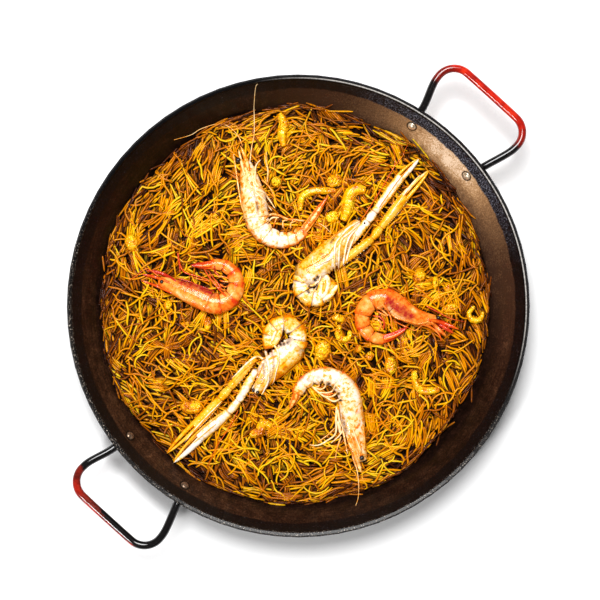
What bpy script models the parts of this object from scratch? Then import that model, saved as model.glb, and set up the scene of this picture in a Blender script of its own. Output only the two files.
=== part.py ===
"""A wide steel pan of toasted noodles, with prawns, langoustines and pieces of cuttlefish.

Metres, +Z up. The pan stands on z = 0 with its centre on the Z axis, and the X axis runs
through the middle of both handles. Every piece of the food is a solid of its own. The
noodles are one solid: a low core that fills the bottom of the pan, with noodles fused on
where they show. The seafood lies on the flat top of that core.
"""

import math
import random

import bmesh
import bpy
from mathutils import Matrix, Vector, noise
from mathutils.bvhtree import BVHTree

GAP = 0.0003  # between two solids that touch in the real dish
MERGE = 0.00001
SEED = 46

# Pan: pressed sheet, a leaning wall and a rolled rim.
RIM_RADIUS = 0.230
PAN_HEIGHT = 0.048
SHEET = 0.0016
BEAD_RADIUS = 0.0025
FLOOR_RADIUS = 0.191  # where the wall's inner face would meet the floor
CORNER_RADIUS = 0.010
TURNS = 72  # facets round the pan
FACET = 2 * math.pi / TURNS

# Handles: bent rod with flattened ends, two rivets each.
ROD_RADIUS = 0.0037
BAR_REACH = 0.2852
BAR_HEIGHT = 0.0418
LEG_SPREAD = (0.0510, 0.0540)  # from the X axis out to the legs at +Y and at -Y, at the bends
RIM_CROSSING = (0.0416, 0.0456)  # the same where they pass under the rim
BEND_RADIUS = 0.015
BEND_STEPS = 3
RIVET_TURN = math.radians(10.0)  # each rivet's angle from the handle's middle
RIVET_HEIGHT = 0.030
RIVET_SHANK = 0.0024
RIVET_HEAD = 0.0043
PLATE_LENGTH, PLATE_WIDTH, PLATE_THICKNESS = 0.020, 0.013, 0.003
PLATE_LIFT = 0.0028  # how far up the wall the plate's middle lies from its rivet
PLATE_EDGE = 0.0008

# Noodles.
CORE_TOP = 0.013
CORE_SHOULDER = 0.009
CORE_EDGE = 0.196  # mean radius of the core's top, which wanders by CORE_WANDER
CORE_WANDER = 0.005
NOODLE_RADIUS = 0.0011
NOODLE_COUNT = 112
NOODLE_PROUD = 0.3  # the share that arches over the core, the rest being half sunk in it
NOODLE_ARCH = (0.0016, 0.0034)
NOODLE_REACH = 0.1965
NOODLE_LENGTHS = (0.022, 0.042)
REST = CORE_TOP + GAP  # the plane that the seafood lies on

# Wall's lean, from its foot to the middle of the rolled rim.
WALL_RUN = RIM_RADIUS - 1.9 * BEAD_RADIUS - FLOOR_RADIUS
WALL_RISE = PAN_HEIGHT - 1.4 * BEAD_RADIUS - SHEET
LEAN = math.atan2(WALL_RUN, WALL_RISE)
WALL_UP = Vector((math.sin(LEAN), math.cos(LEAN)))
WALL_OUT = Vector((math.cos(LEAN), -math.sin(LEAN)))

# Prawns: nose, heading in degrees, then (length, turn) of the head, the curled tail and the
# tail fan, and how deep the body is at its thickest. A positive turn goes anticlockwise.
PRAWNS = {
    "prawn_pale_top": ((0.071, 0.137), -123, ((0.056, -7), (0.063, 133), (0.043, 7)), 0.0125),
    "prawn_pale_low": ((-0.072, -0.153), 59, ((0.062, -11), (0.075, 155), (0.018, -11)), 0.0118),
    "prawn_red_left": ((-0.076, 0.121), -69, ((0.054, -4), (0.077, 220), (0.022, -23)), 0.0108),
    "prawn_red_right": ((0.083, -0.112), 135, ((0.043, -48), (0.082, 228), (0.027, 39)), 0.0108),
}
PRAWN_FLAT = 0.74  # thickness of a body lying on its side, over its depth
BODY_STEP = 0.0095  # between the sections of a body
BODY_SUNK = 0.86  # height of a body's middle over the bed, over half its thickness
PLATE_DROP = 0.12  # how much every other ring of a tail is smaller

# A prawn's small parts, each with its radii from root to tip.
FAN_LOBES = ((-8, 0.92), (0, 1.0), (8, 0.92))  # swing in degrees and share of the fan's length
FAN_RADII, FAN_FLAT = (0.0030, 0.0050, 0.0026), 0.55
SCALE_RADII, SCALE_FLAT, SCALE_HEIGHT = (0.0034, 0.0036, 0.0010), 0.5, 0.004
BEAK_RADII = (0.0022, 0.0014, 0.0006)
PRAWN_EYE = 0.0028
LEG_RADII, LEG_STRIDE, LEG_HEIGHT = (0.0013, 0.0011, 0.0007), 0.010, 0.004
PADDLE_RADII, PADDLE_SPACING = (0.0019, 0.0011), 1.6
LIMB_COUNT = 3

# Langoustines: nose, heading, (length, turn) of the body and the curled tail, and half the
# body's depth. Each arm is its shoulder, elbow, wrist, claw's knuckle and claw's tip.
LANGOUSTINES = {
    "langoustine_upper": (
        (0.104, 0.013), 186, ((0.075, -15), (0.056, 238)), 0.0140,
        (
            ((0.072, 0.004), (0.111, 0.0055), (0.122, 0.0068), (0.168, 0.0112), (0.192, 0.0100)),
            ((0.056, -0.002), (0.101, -0.0095), (0.115, -0.0083), (0.158, -0.0055), (0.190, -0.0055)),
        ),
    ),
    "langoustine_lower": (
        (-0.094, -0.028), 14, ((0.058, -24), (0.068, 262)), 0.0130,
        (
            ((-0.068, -0.0030), (-0.108, -0.0045), (-0.123, -0.0050), (-0.166, -0.0046), (-0.200, -0.0030)),
            ((-0.077, -0.0120), (-0.112, -0.0200), (-0.127, -0.0200), (-0.170, -0.0125), (-0.200, -0.0120)),
        ),
    ),
}
LANGOUSTINE_FLAT = 0.80
TUCKED_FAN = (0.0085, 0.0065, 0.0050)
STALK_EYE = 0.0024
FOLDED_LEG_RADII = (0.0016, 0.0016, 0.0010)
UPPER_ARM_RADII, UPPER_ARM_HEIGHT = (0.0030, 0.0045, 0.0042), 0.0045
WRIST_RADII, WRIST_HEIGHT = (0.0042, 0.0047), 0.0050
PALM_RADII, PALM_HEIGHT = (0.0040, 0.0063, 0.0052), 0.0055
FINGER_RADII, FINGER_HEIGHT = (0.0030, 0.0024, 0.0007), 0.0048
FINGER_PARTS = (0.0026, 0.0036, 0.0008)  # half the distance between the fingers, root to tip

# Cut cuttlefish: middle, size in the plane, turn in degrees and thickness.
CHUNKS = {
    "cuttlefish_1": ((-0.0669, 0.1681), (0.018, 0.012), 55, 0.009),
    "cuttlefish_2": ((-0.0880, 0.0990), (0.010, 0.008), 20, 0.007),
    "cuttlefish_3": ((-0.0760, 0.0560), (0.016, 0.008), 35, 0.007),
    "cuttlefish_4": ((-0.1488, 0.0115), (0.025, 0.014), -48, 0.009),
    "cuttlefish_5": ((0.0776, 0.1011), (0.010, 0.009), 30, 0.008),
    "cuttlefish_6": ((0.1053, -0.0707), (0.015, 0.012), -30, 0.010),
    "cuttlefish_7": ((0.1109, -0.0875), (0.014, 0.006), 40, 0.008),
    "cuttlefish_8": ((0.1160, -0.1000), (0.009, 0.007), 10, 0.006),
    "cuttlefish_9": ((-0.0169, -0.0478), (0.022, 0.018), 25, 0.010),
    "cuttlefish_10": ((0.0186, -0.0385), (0.016, 0.008), -60, 0.007),
    "cuttlefish_11": ((0.0090, -0.0740), (0.009, 0.007), 40, 0.007),
    "cuttlefish_12": ((0.0110, -0.0880), (0.008, 0.007), 15, 0.006),
    "cuttlefish_13": ((0.0175, -0.1096), (0.020, 0.012), 50, 0.009),
    "cuttlefish_14": ((0.1020, -0.1160), (0.018, 0.009), -40, 0.008),
    "cuttlefish_15": ((0.1180, 0.0580), (0.018, 0.013), -20, 0.008),
    "cuttlefish_16": ((0.0900, 0.0350), (0.016, 0.010), -35, 0.008),
}

# Bent strips and tentacles: half the width at the middle, how flat, then the route.
STRIPS = {
    "squid_loop": (
        0.0062, 0.80,
        ((0.095, 0.0245), (0.105, 0.029), (0.116, 0.036), (0.125, 0.037), (0.132, 0.029)),
    ),
    "squid_strip": (0.0034, 0.9, ((0.073, 0.064), (0.085, 0.072), (0.098, 0.066), (0.112, 0.050))),
    "squid_ring_1": (
        0.0026, 1.0,
        ((0.013, -0.045), (0.006, -0.048), (0.004, -0.055), (0.010, -0.060), (0.016, -0.056)),
    ),
    "squid_ring_2": (
        0.0024, 1.0,
        ((0.119, -0.133), (0.111, -0.133), (0.108, -0.140), (0.114, -0.146), (0.121, -0.143)),
    ),
    "tentacle_1": (0.0046, 0.9, ((0.110, 0.120), (0.117, 0.129), (0.127, 0.135), (0.131, 0.145))),
    "tentacle_2": (
        0.0036, 0.9,
        ((0.030, -0.132), (0.022, -0.141), (0.021, -0.151), (0.027, -0.158), (0.033, -0.163)),
    ),
    "tentacle_3": (0.0050, 0.8, ((-0.129, -0.052), (-0.121, -0.057), (-0.113, -0.054), (-0.108, -0.061))),
}

COLOURS = {
    "steel": ((0.045, 0.032, 0.026, 1), 0.45, 0.7),
    "paint": ((0.42, 0.020, 0.018, 1), 0.35, 0.0),
    "rivet": ((0.55, 0.50, 0.44, 1), 0.35, 0.9),
    "noodle": ((0.55, 0.24, 0.035, 1), 0.45, 0.0),
    "pale": ((0.90, 0.62, 0.28, 1), 0.40, 0.0),
    "red": ((0.85, 0.20, 0.05, 1), 0.35, 0.0),
    "langoustine": ((0.93, 0.68, 0.36, 1), 0.40, 0.0),
    "cuttlefish": ((0.90, 0.48, 0.03, 1), 0.35, 0.0),
}


def clear_scene():
    for item in list(bpy.data.objects):
        bpy.data.objects.remove(item, do_unlink=True)


def new_collection(name):
    collection = bpy.data.collections.new(name)
    bpy.context.scene.collection.children.link(collection)
    return collection


def material(name):
    made = bpy.data.materials.get(name)
    if made is None:
        colour, roughness, metallic = COLOURS[name]
        made = bpy.data.materials.new(name)
        made.use_nodes = True
        shader = made.node_tree.nodes["Principled BSDF"]
        shader.inputs["Base Color"].default_value = colour
        shader.inputs["Roughness"].default_value = roughness
        shader.inputs["Metallic"].default_value = metallic
        made.diffuse_color = colour
    return made


def add_object(name, data, collection, finish=None):
    made = bpy.data.objects.new(name, data)
    collection.objects.link(made)
    if finish:
        data.materials.clear()
        data.materials.append(material(finish))
    return made


def evaluated_mesh(item):
    """The object's mesh with its modifiers applied, or a curve's mesh."""
    bpy.context.view_layer.update()
    graph = bpy.context.evaluated_depsgraph_get()
    return bpy.data.meshes.new_from_object(item.evaluated_get(graph), depsgraph=graph)


def weld(mesh, distance):
    work = bmesh.new()
    work.from_mesh(mesh)
    bmesh.ops.remove_doubles(work, verts=work.verts, dist=distance)
    work.to_mesh(mesh)
    work.free()


def settle(item):
    """Replaces the object's data by its evaluated mesh and drops its modifiers."""
    mesh = evaluated_mesh(item)
    item.modifiers.clear()
    item.data = mesh
    return item


def smooth(item, angle=40):
    item.data.shade_smooth()
    item.data.set_sharp_from_angle(angle=math.radians(angle))
    return item


def turned(name, profile, collection, steps, finish, start=0.0):
    """A profile of (radius, height), turned about Z from the angle start."""
    mesh = bpy.data.meshes.new(name)
    count = len(profile)
    across = (math.cos(start), math.sin(start))
    points = [(r * across[0], r * across[1], z) for r, z in profile]
    mesh.from_pydata(points, [(i, i + 1) for i in range(count - 1)], [])
    made = add_object(name, mesh, collection, finish)
    screw = made.modifiers.new("Screw", "SCREW")
    screw.steps = steps
    screw.render_steps = steps
    screw.use_merge_vertices = True
    screw.merge_threshold = MERGE
    return settle(made)


def tube(name, points, radii, collection, flat=1.0, resolution=2):
    """A tube along 3-D points with a radius at each, flattened in Z to flat of its height."""
    curve = bpy.data.curves.new(name, "CURVE")
    curve.dimensions = "3D"
    curve.bevel_depth = 1.0
    curve.bevel_resolution = resolution
    curve.use_fill_caps = True
    spline = curve.splines.new("POLY")
    spline.points.add(len(points) - 1)
    for place, point, radius in zip(spline.points, points, radii):
        place.co = (point[0], point[1], point[2] / flat, 1.0)
        place.radius = radius
    drawn = bpy.data.objects.new(name, curve)
    collection.objects.link(drawn)
    mesh = evaluated_mesh(drawn)
    weld(mesh, MERGE)
    bpy.data.objects.remove(drawn, do_unlink=True)
    mesh.transform(Matrix.Diagonal((1.0, 1.0, flat, 1.0)))
    return add_object(name, mesh, collection)


def ball(name, middle, size, collection, segments=8, rings=5):
    mesh = bpy.data.meshes.new(name)
    work = bmesh.new()
    bmesh.ops.create_uvsphere(work, u_segments=segments, v_segments=rings, radius=1.0)
    work.to_mesh(mesh)
    work.free()
    mesh.transform(Matrix.Translation(middle) @ Matrix.Diagonal((*size, 1.0)))
    return add_object(name, mesh, collection)


def block(name, size, frame, collection):
    """A box of that size, placed by the matrix frame."""
    mesh = bpy.data.meshes.new(name)
    work = bmesh.new()
    bmesh.ops.create_cube(work, size=1.0)
    work.to_mesh(mesh)
    work.free()
    mesh.transform(frame @ Matrix.Diagonal((*size, 1.0)))
    return add_object(name, mesh, collection)


def boolean(item, operation, others):
    """Applies one Boolean with everything in the collection others, which is then emptied."""
    cut = item.modifiers.new("Boolean", "BOOLEAN")
    cut.operation = operation
    cut.solver = "EXACT"
    cut.use_self = operation == "UNION"
    cut.operand_type = "COLLECTION"
    cut.collection = others
    settle(item)
    for used in list(others.objects):
        bpy.data.objects.remove(used, do_unlink=True)
    bpy.data.collections.remove(others)
    return item


def fused(name, pieces, source, target, finish):
    """Joins the pieces, all in the collection source, to one solid."""
    first = pieces[0]
    source.objects.unlink(first)
    target.objects.link(first)
    first.name = name
    boolean(first, "UNION", source)
    first.data.materials.clear()
    first.data.materials.append(material(finish))
    return first


def laid_flat(item):
    """Cuts away what would lie below the plane that the seafood rests on."""
    tools = new_collection("bed_level")
    below = Matrix.Translation((0, 0, REST - 0.05))
    block("below", (1.0, 1.0, 0.1), below, tools)
    return smooth(boolean(item, "DIFFERENCE", tools))


def walk(start, heading, runs, step=BODY_STEP):
    """Points and headings along arcs: each run is (length, turn in degrees)."""
    place = Vector(start)
    angle = math.radians(heading)
    route = [(place.copy(), angle)]
    for length, turn in runs:
        count = max(2, round(length / step))
        bend = math.radians(turn) / count
        for _ in range(count):
            middle = angle + bend / 2
            place += Vector((math.cos(middle), math.sin(middle))) * (length / count)
            angle += bend
            route.append((place.copy(), angle))
    return route


def eased(points, per_span=3):
    """A smooth route through the points, by Catmull-Rom."""
    ends = [2 * points[0] - points[1]] + list(points) + [2 * points[-1] - points[-2]]
    route = []
    for i in range(1, len(ends) - 2):
        a, b, c, d = ends[i - 1 : i + 3]
        for k in range(per_span):
            t = k / per_span
            linear = (c - a) * t
            square = (2 * a - 5 * b + 4 * c - d) * t**2
            cubic = (3 * b - a - 3 * c + d) * t**3
            route.append(0.5 * (2 * b + linear + square + cubic))
    route.append(points[-1])
    return route


def wall_radius(height):
    """The wall's inner radius at a height."""
    return FLOOR_RADIUS + (height - SHEET) * math.tan(LEAN)


def corner(offset, steps):
    """The rounded corner between floor and wall, moved out by offset, from the floor up."""
    back = CORNER_RADIUS * math.tan((math.pi / 2 - LEAN) / 2)
    middle = Vector((FLOOR_RADIUS - back, SHEET + CORNER_RADIUS))
    turn = math.pi / 2 - LEAN
    reach = CORNER_RADIUS + offset
    arc = [-math.pi / 2 + turn * i / steps for i in range(steps + 1)]
    return [middle + reach * Vector((math.cos(a), math.sin(a))) for a in arc]


def rivet_frame(side, turn):
    """A matrix whose Z runs out through the wall at a rivet, and whose X runs up the wall."""
    angle = turn + (0 if side > 0 else math.pi)
    radial = Vector((math.cos(angle), math.sin(angle), 0))
    up = radial * WALL_UP[0] + Vector((0, 0, WALL_UP[1]))
    out = radial * WALL_OUT[0] + Vector((0, 0, WALL_OUT[1]))
    place = radial * wall_radius(RIVET_HEIGHT) + Vector((0, 0, RIVET_HEIGHT))
    frame = Matrix((up, out.cross(up), out)).transposed().to_4x4()
    return Matrix.Translation(place) @ frame


def rivet_holes(side, collection):
    for turn in (-RIVET_TURN, RIVET_TURN):
        mesh = bpy.data.meshes.new("hole")
        work = bmesh.new()
        reach = RIVET_SHANK + GAP
        bmesh.ops.create_cone(
            work, cap_ends=True, segments=12, radius1=reach, radius2=reach, depth=0.02
        )
        work.to_mesh(mesh)
        work.free()
        mesh.transform(rivet_frame(side, turn))
        add_object("hole", mesh, collection)


def make_pan(parts):
    middle = Vector((RIM_RADIUS - BEAD_RADIUS, PAN_HEIGHT - BEAD_RADIUS))
    bead = [math.radians(200 - 62 * i) for i in range(6)]
    profile = [Vector((0, SHEET))]
    profile += corner(0.0, 1)
    profile += [middle + BEAD_RADIUS * Vector((math.cos(a), math.sin(a))) for a in bead]
    profile += list(reversed(corner(SHEET, 2)))
    profile += [Vector((0, 0))]
    pan = turned("pan_body", profile, parts, TURNS, "steel", FACET / 2)
    holes = new_collection("wall_holes")
    for side in (1, -1):
        rivet_holes(side, holes)
    return smooth(boolean(pan, "DIFFERENCE", holes), 35)


def leg_route(spread, crossing):
    """The front handle's leg at +Y: up the wall's outside, under the rim and round the bend."""
    root = rivet_frame(1, RIVET_TURN) @ Vector((0.0062, 0, SHEET + GAP + ROD_RADIUS))
    under = Vector((root.x + 0.0050, (root.y + crossing) / 2, root.z + 0.0042))
    past = Vector((RIM_RADIUS + 0.004, crossing, root.z + 0.0064))
    along = Vector((RIM_RADIUS + 0.025, spread - 0.001, BAR_HEIGHT - 0.001))
    route = [root, under, past, along]
    middle = Vector((BAR_REACH - BEND_RADIUS, spread - BEND_RADIUS, BAR_HEIGHT))
    for i in range(BEND_STEPS + 1):
        angle = math.pi / 2 * (1 - i / BEND_STEPS)
        route.append(middle + BEND_RADIUS * Vector((math.cos(angle), math.sin(angle), 0)))
    return route


def rod_route(side):
    """The handle's rod, from the plate at +Y round the bar to the plate at -Y."""
    there = leg_route(LEG_SPREAD[0], RIM_CROSSING[0])
    back = leg_route(LEG_SPREAD[1], RIM_CROSSING[1])
    route = there + [Vector((p.x, -p.y, p.z)) for p in reversed(back)]
    return [Vector((side * p.x, p.y, p.z)) for p in route]


def make_handle(name, side, parts):
    source = new_collection(name + "_pieces")
    route = rod_route(side)
    pieces = [tube("rod", route, [ROD_RADIUS] * len(route), source)]
    for turn in (-RIVET_TURN, RIVET_TURN):
        lift = Matrix.Translation((PLATE_LIFT, 0, SHEET + GAP + PLATE_THICKNESS / 2))
        size = (PLATE_LENGTH, PLATE_WIDTH, PLATE_THICKNESS)
        plate = block("plate", size, rivet_frame(side, turn) @ lift, source)
        edge = plate.modifiers.new("Bevel", "BEVEL")
        edge.width = PLATE_EDGE
        edge.segments = 1
        pieces.append(settle(plate))
    handle = fused(name, pieces, source, parts, "paint")
    holes = new_collection(name + "_holes")
    rivet_holes(side, holes)
    return smooth(boolean(handle, "DIFFERENCE", holes))


def make_rivet(name, side, turn, parts):
    """A domed head inside the pan, a shank, and a lower head on the handle's plate."""
    inside = -GAP
    outside = SHEET + 2 * GAP + PLATE_THICKNESS
    profile = [
        (0, outside + 0.0018),
        (RIVET_HEAD * 0.65, outside + 0.0013),
        (RIVET_HEAD * 0.93, outside),
        (RIVET_SHANK, outside),
        (RIVET_SHANK, inside),
        (RIVET_HEAD, inside),
        (RIVET_HEAD * 0.72, inside - 0.0015),
        (0, inside - 0.0022),
    ]
    rivet = turned(name, profile, parts, 10, "rivet")
    rivet.data.transform(rivet_frame(side, turn))
    return smooth(rivet)


def prawn_depth(share, depth):
    """Half the body's depth at a share of the way from nose to the tail fan's root."""
    front = 0.42 + 0.58 * min(1.0, share / 0.30) ** 0.7
    back = 1.0 - 0.52 * max(0.0, (share - 0.45) / 0.55)
    return depth * front * back


def body_tube(name, route, depths, flat, rings_from, source):
    """A tube along the route whose rear rings overlap like plates."""
    points, radii = [], []
    for i, ((place, _), depth) in enumerate(zip(route, depths)):
        height = REST + BODY_SUNK * depth * flat
        drop = PLATE_DROP * depth if i >= rings_from and i % 2 == 0 else 0.0
        points.append(Vector((place.x, place.y, height)))
        radii.append(depth - drop)
    return tube(name, points, radii, source, flat)


def slim(name, places, radii, source, flat=1.0, resolution=0):
    """A thin limb through (x, y, height above the bed) places."""
    points = [Vector((x, y, REST + z)) for x, y, z in places]
    return tube(name, points, radii, source, flat, resolution)


def offset_from(place, angle, forward, sideways):
    ahead = Vector((math.cos(angle), math.sin(angle)))
    left = Vector((-math.sin(angle), math.cos(angle)))
    return place + ahead * forward + left * sideways


def prawn_fan(body, depth, run, source):
    """Three flat lobes that carry the tail on along its own bend."""
    root, angle = body[-1]
    length, turn = run
    height = depth * PRAWN_FLAT * 0.8
    lobes = []
    for swing, share in FAN_LOBES:
        lobe = walk(root, math.degrees(angle) + swing, ((length * share, turn),), length * share / 2)
        places = [(p.x, p.y, height) for p, _ in lobe]
        lobes.append(slim("lobe", places, FAN_RADII, source, FAN_FLAT))
    return lobes


def prawn_face(body, depth, belly, source):
    """A flat scale on the belly side of the nose, a beak on its back edge, and an eye."""
    front, face = body[0]
    height = depth * PRAWN_FLAT
    scale = [offset_from(front, face, 0.008 - 0.013 * i, belly * (0.002 + 0.002 * i)) for i in range(3)]
    places = [(p.x, p.y, SCALE_HEIGHT) for p in scale]
    pieces = [slim("scale", places, SCALE_RADII, source, SCALE_FLAT)]
    beak = [offset_from(front, face, 0.010 - 0.012 * i, -belly * 0.0035) for i in range(3)]
    pieces.append(slim("beak", [(p.x, p.y, height) for p in beak], BEAK_RADII, source))
    eye = offset_from(front, face, -0.001, -belly * depth * 0.75)
    pieces.append(ball("eye", (eye.x, eye.y, REST + height + 0.001), (PRAWN_EYE,) * 3, source, 6, 4))
    return pieces


def prawn_limbs(body, depths, belly, tail_from, source):
    """Walking legs that reach forward from the belly, and swimming legs inside the curl."""
    pieces = []
    for i in range(LIMB_COUNT):
        place, angle = body[2 + i]
        reach = depths[2 + i]
        hip = offset_from(place, angle, 0, belly * reach * 0.8)
        knee = offset_from(place, angle, -LEG_STRIDE, belly * (reach + 0.004))
        foot = offset_from(place, angle, -2 * LEG_STRIDE, belly * (reach + 0.001 + 0.002 * (i % 2)))
        places = [(hip.x, hip.y, LEG_HEIGHT), (knee.x, knee.y, LEG_HEIGHT), (foot.x, foot.y, 0.0012)]
        pieces.append(slim("leg", places, LEG_RADII, source))
    for i in range(LIMB_COUNT):
        station = tail_from + 1 + round(PADDLE_SPACING * i)
        place, angle = body[station]
        reach = depths[station]
        hip = offset_from(place, angle, 0, belly * reach * 0.7)
        tip = offset_from(place, angle, -0.005, belly * (reach + 0.0045))
        pieces.append(slim("paddle", [(hip.x, hip.y, 0.005), (tip.x, tip.y, 0.003)], PADDLE_RADII, source))
    return pieces


def make_prawn(name, parts, finish):
    nose, heading, runs, depth = PRAWNS[name]
    source = new_collection(name + "_pieces")
    belly = math.copysign(1, runs[1][1])  # the side that the tail curls to
    body = walk(nose, heading, runs[:2])
    depths = [prawn_depth(i / (len(body) - 1), depth) for i in range(len(body))]
    tail_from = max(2, round(runs[0][0] / BODY_STEP))
    pieces = [body_tube("body", body, depths, PRAWN_FLAT, tail_from, source)]
    pieces += prawn_fan(body, depths[-1], runs[2], source)
    pieces += prawn_face(body, depths[0], belly, source)
    pieces += prawn_limbs(body, depths, belly, tail_from, source)
    return laid_flat(fused(name, pieces, source, parts, finish))


def straight_limb(start, end, radii, height, source):
    """A round limb from start to end at one height, with its radii evenly spaced."""
    last = len(radii) - 1
    places = [start.lerp(end, i / last) for i in range(last + 1)]
    return slim("arm", [(p.x, p.y, height) for p in places], radii, source, 1.0, 1)


def make_arm(joints, source):
    """Upper arm, wrist and claw with two fingers, lying along the joints."""
    shoulder, elbow, wrist, knuckle, tip = (Vector(j) for j in joints)
    pieces = [
        straight_limb(shoulder, elbow, UPPER_ARM_RADII, UPPER_ARM_HEIGHT, source),
        straight_limb(elbow.lerp(shoulder, 0.05), wrist, WRIST_RADII, WRIST_HEIGHT, source),
        straight_limb(wrist.lerp(elbow, 0.2), knuckle, PALM_RADII, PALM_HEIGHT, source),
    ]
    across = (tip - knuckle).normalized()
    aside = Vector((-across.y, across.x))
    stations = (knuckle.lerp(wrist, 0.12), knuckle.lerp(tip, 0.5), tip)
    for side in (1, -1):
        finger = [p + aside * side * part for p, part in zip(stations, FINGER_PARTS)]
        places = [(p.x, p.y, FINGER_HEIGHT) for p in finger]
        pieces.append(slim("finger", places, FINGER_RADII, source))
    return pieces


def langoustine_depths(count, head_count, depth):
    """Half the body's depth at each section: a full head, then a thinner tapering tail."""
    depths = []
    for i in range(count):
        if i <= head_count:
            fullness = min(1.0, i / (0.6 * head_count)) ** 0.8
            depths.append(depth * (0.22 + 0.78 * fullness))
        else:
            along = (i - head_count) / (count - 1 - head_count)
            depths.append(depth * (0.74 - 0.16 * along))
    return depths


def folded_legs(body, depths, belly, source):
    """Walking legs folded across the side that shows."""
    legs = []
    for i in range(LIMB_COUNT):
        station = 2 + round(1.5 * i)
        place, angle = body[station]
        reach = depths[station]
        top = 2 * BODY_SUNK * reach * LANGOUSTINE_FLAT
        hip = offset_from(place, angle, 0.004, -belly * reach * 0.2)
        knee = offset_from(place, angle, -0.006, belly * reach * 0.75)
        foot = offset_from(place, angle, -0.002, belly * (reach + 0.003))
        places = [(hip.x, hip.y, top * 0.92), (knee.x, knee.y, top * 0.72), (foot.x, foot.y, LEG_HEIGHT)]
        legs.append(slim("leg", places, FOLDED_LEG_RADII, source))
    return legs


def make_langoustine(name, parts, finish):
    nose, heading, runs, depth, arms = LANGOUSTINES[name]
    source = new_collection(name + "_pieces")
    belly = math.copysign(1, runs[1][1])
    body = walk(nose, heading, runs)
    head_count = max(2, round(runs[0][0] / BODY_STEP))
    depths = langoustine_depths(len(body), head_count, depth)
    pieces = [body_tube("body", body, depths, LANGOUSTINE_FLAT, head_count, source)]

    # The tail fan is tucked in under the curl, as one oval lobe.
    end, angle = body[-1]
    fan = offset_from(end, angle, 0.004, 0)
    pieces.append(ball("fan", (fan.x, fan.y, REST + 0.007), TUCKED_FAN, source, 8, 4))

    front, face = body[0]
    for side in (1, -1):
        eye = offset_from(front, face, 0.004, side * 0.0045)
        pieces.append(ball("eye", (eye.x, eye.y, REST + 0.0075), (STALK_EYE,) * 3, source, 6, 4))
    pieces += folded_legs(body, depths, belly, source)
    for joints in arms:
        pieces += make_arm(joints, source)
    return laid_flat(fused(name, pieces, source, parts, finish))


def make_chunk(name, parts, draw):
    """A cut piece with soft edges: a jittered box under one subdivision."""
    (x, y), (long, wide), turn, thick = CHUNKS[name]
    frame = Matrix.Translation((x, y, REST + thick * 0.42)) @ Matrix.Rotation(math.radians(turn), 4, "Z")
    chunk = block(name, (long, wide, thick), frame, parts)
    for vertex in chunk.data.vertices:
        vertex.co += Vector([draw.uniform(-0.12, 0.12) * wide for _ in range(3)])
    soft = chunk.modifiers.new("Subdivision", "SUBSURF")
    soft.levels = 1
    soft.render_levels = 1
    chunk.data.materials.append(material("cuttlefish"))
    return laid_flat(settle(chunk))


def make_strip(name, parts):
    half, flat, route = STRIPS[name]
    points = eased([Vector((x, y, REST + half * flat * 0.85)) for x, y in route], 2)
    last = len(points) - 1
    radii = [half * (0.55 + 0.45 * math.sin(math.pi * i / last)) for i in range(last + 1)]
    strip = tube(name, points, radii, parts, flat, 1)
    strip.data.materials.append(material("cuttlefish"))
    return laid_flat(strip)


def make_core(parts):
    """The low bed of noodles: it follows the pan's floor and wall, and its edge wanders."""
    profile = [Vector((0, CORE_TOP)), Vector((CORE_EDGE * 0.5, CORE_TOP)), Vector((CORE_EDGE, CORE_TOP))]
    wall = corner(-2 * GAP, 1)
    shoulder = Vector((wall_radius(CORE_SHOULDER) - 2 * GAP / math.cos(LEAN), CORE_SHOULDER))
    profile += [shoulder] + list(reversed(wall)) + [Vector((0, wall[0].y))]
    core = turned("noodles", profile, parts, TURNS // 2, "noodle", FACET / 2)
    for vertex in core.data.vertices:
        across = math.hypot(vertex.co.x, vertex.co.y)
        if across > CORE_EDGE * 0.95 and vertex.co.z > CORE_TOP - 0.001:
            wander = noise.noise(vertex.co * 60) - 0.35
            scale = 1 + CORE_WANDER * min(0.5, wander) / CORE_EDGE
            vertex.co.x *= scale
            vertex.co.y *= scale
            vertex.co.z -= 0.002 * (0.5 - wander)
    return core


def food_tree(items):
    """One search tree over everything that the noodles have to keep clear of."""
    points, faces = [], []
    for item in items:
        first = len(points)
        points += [vertex.co.copy() for vertex in item.data.vertices]
        faces += [[first + k for k in face.vertices] for face in item.data.polygons]
    return BVHTree.FromPolygons(points, faces)


def is_free(tree, point):
    """True if nothing stands over the point, or within a noodle's width of it."""
    margin = NOODLE_RADIUS + 3 * GAP
    up = Vector((0, 0, 1))
    for i in range(9):
        reach = 0 if i == 8 else margin
        angle = math.pi / 4 * i
        start = Vector((point.x + reach * math.cos(angle), point.y + reach * math.sin(angle), 0))
        if tree.ray_cast(start, up)[0]:
            return False
    return True


def noodle_route(draw):
    """A gently bent noodle somewhere in the pan, lying mostly round the pan near its edge."""
    across = NOODLE_REACH * math.sqrt(draw.random())
    angle = draw.uniform(0, 2 * math.pi)
    place = Vector((across * math.cos(angle), across * math.sin(angle)))
    swirl = noise.noise(Vector((place.x, place.y, 0)) * 18) * 3.0
    heading = angle + math.pi / 2 + swirl + draw.gauss(0, 0.35)
    length = draw.uniform(*NOODLE_LENGTHS)
    turn = draw.gauss(0, 45)
    start = place - Vector((math.cos(heading), math.sin(heading))) * length / 2
    flat = walk(start, math.degrees(heading) - turn / 2, ((length, turn),), length / 2)
    arch = draw.uniform(*NOODLE_ARCH) if draw.random() < NOODLE_PROUD else 0.0
    heights = (CORE_TOP - GAP, CORE_TOP - GAP + arch, CORE_TOP - GAP)
    return [Vector((p.x, p.y, h)) for (p, _), h in zip(flat, heights)]


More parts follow.
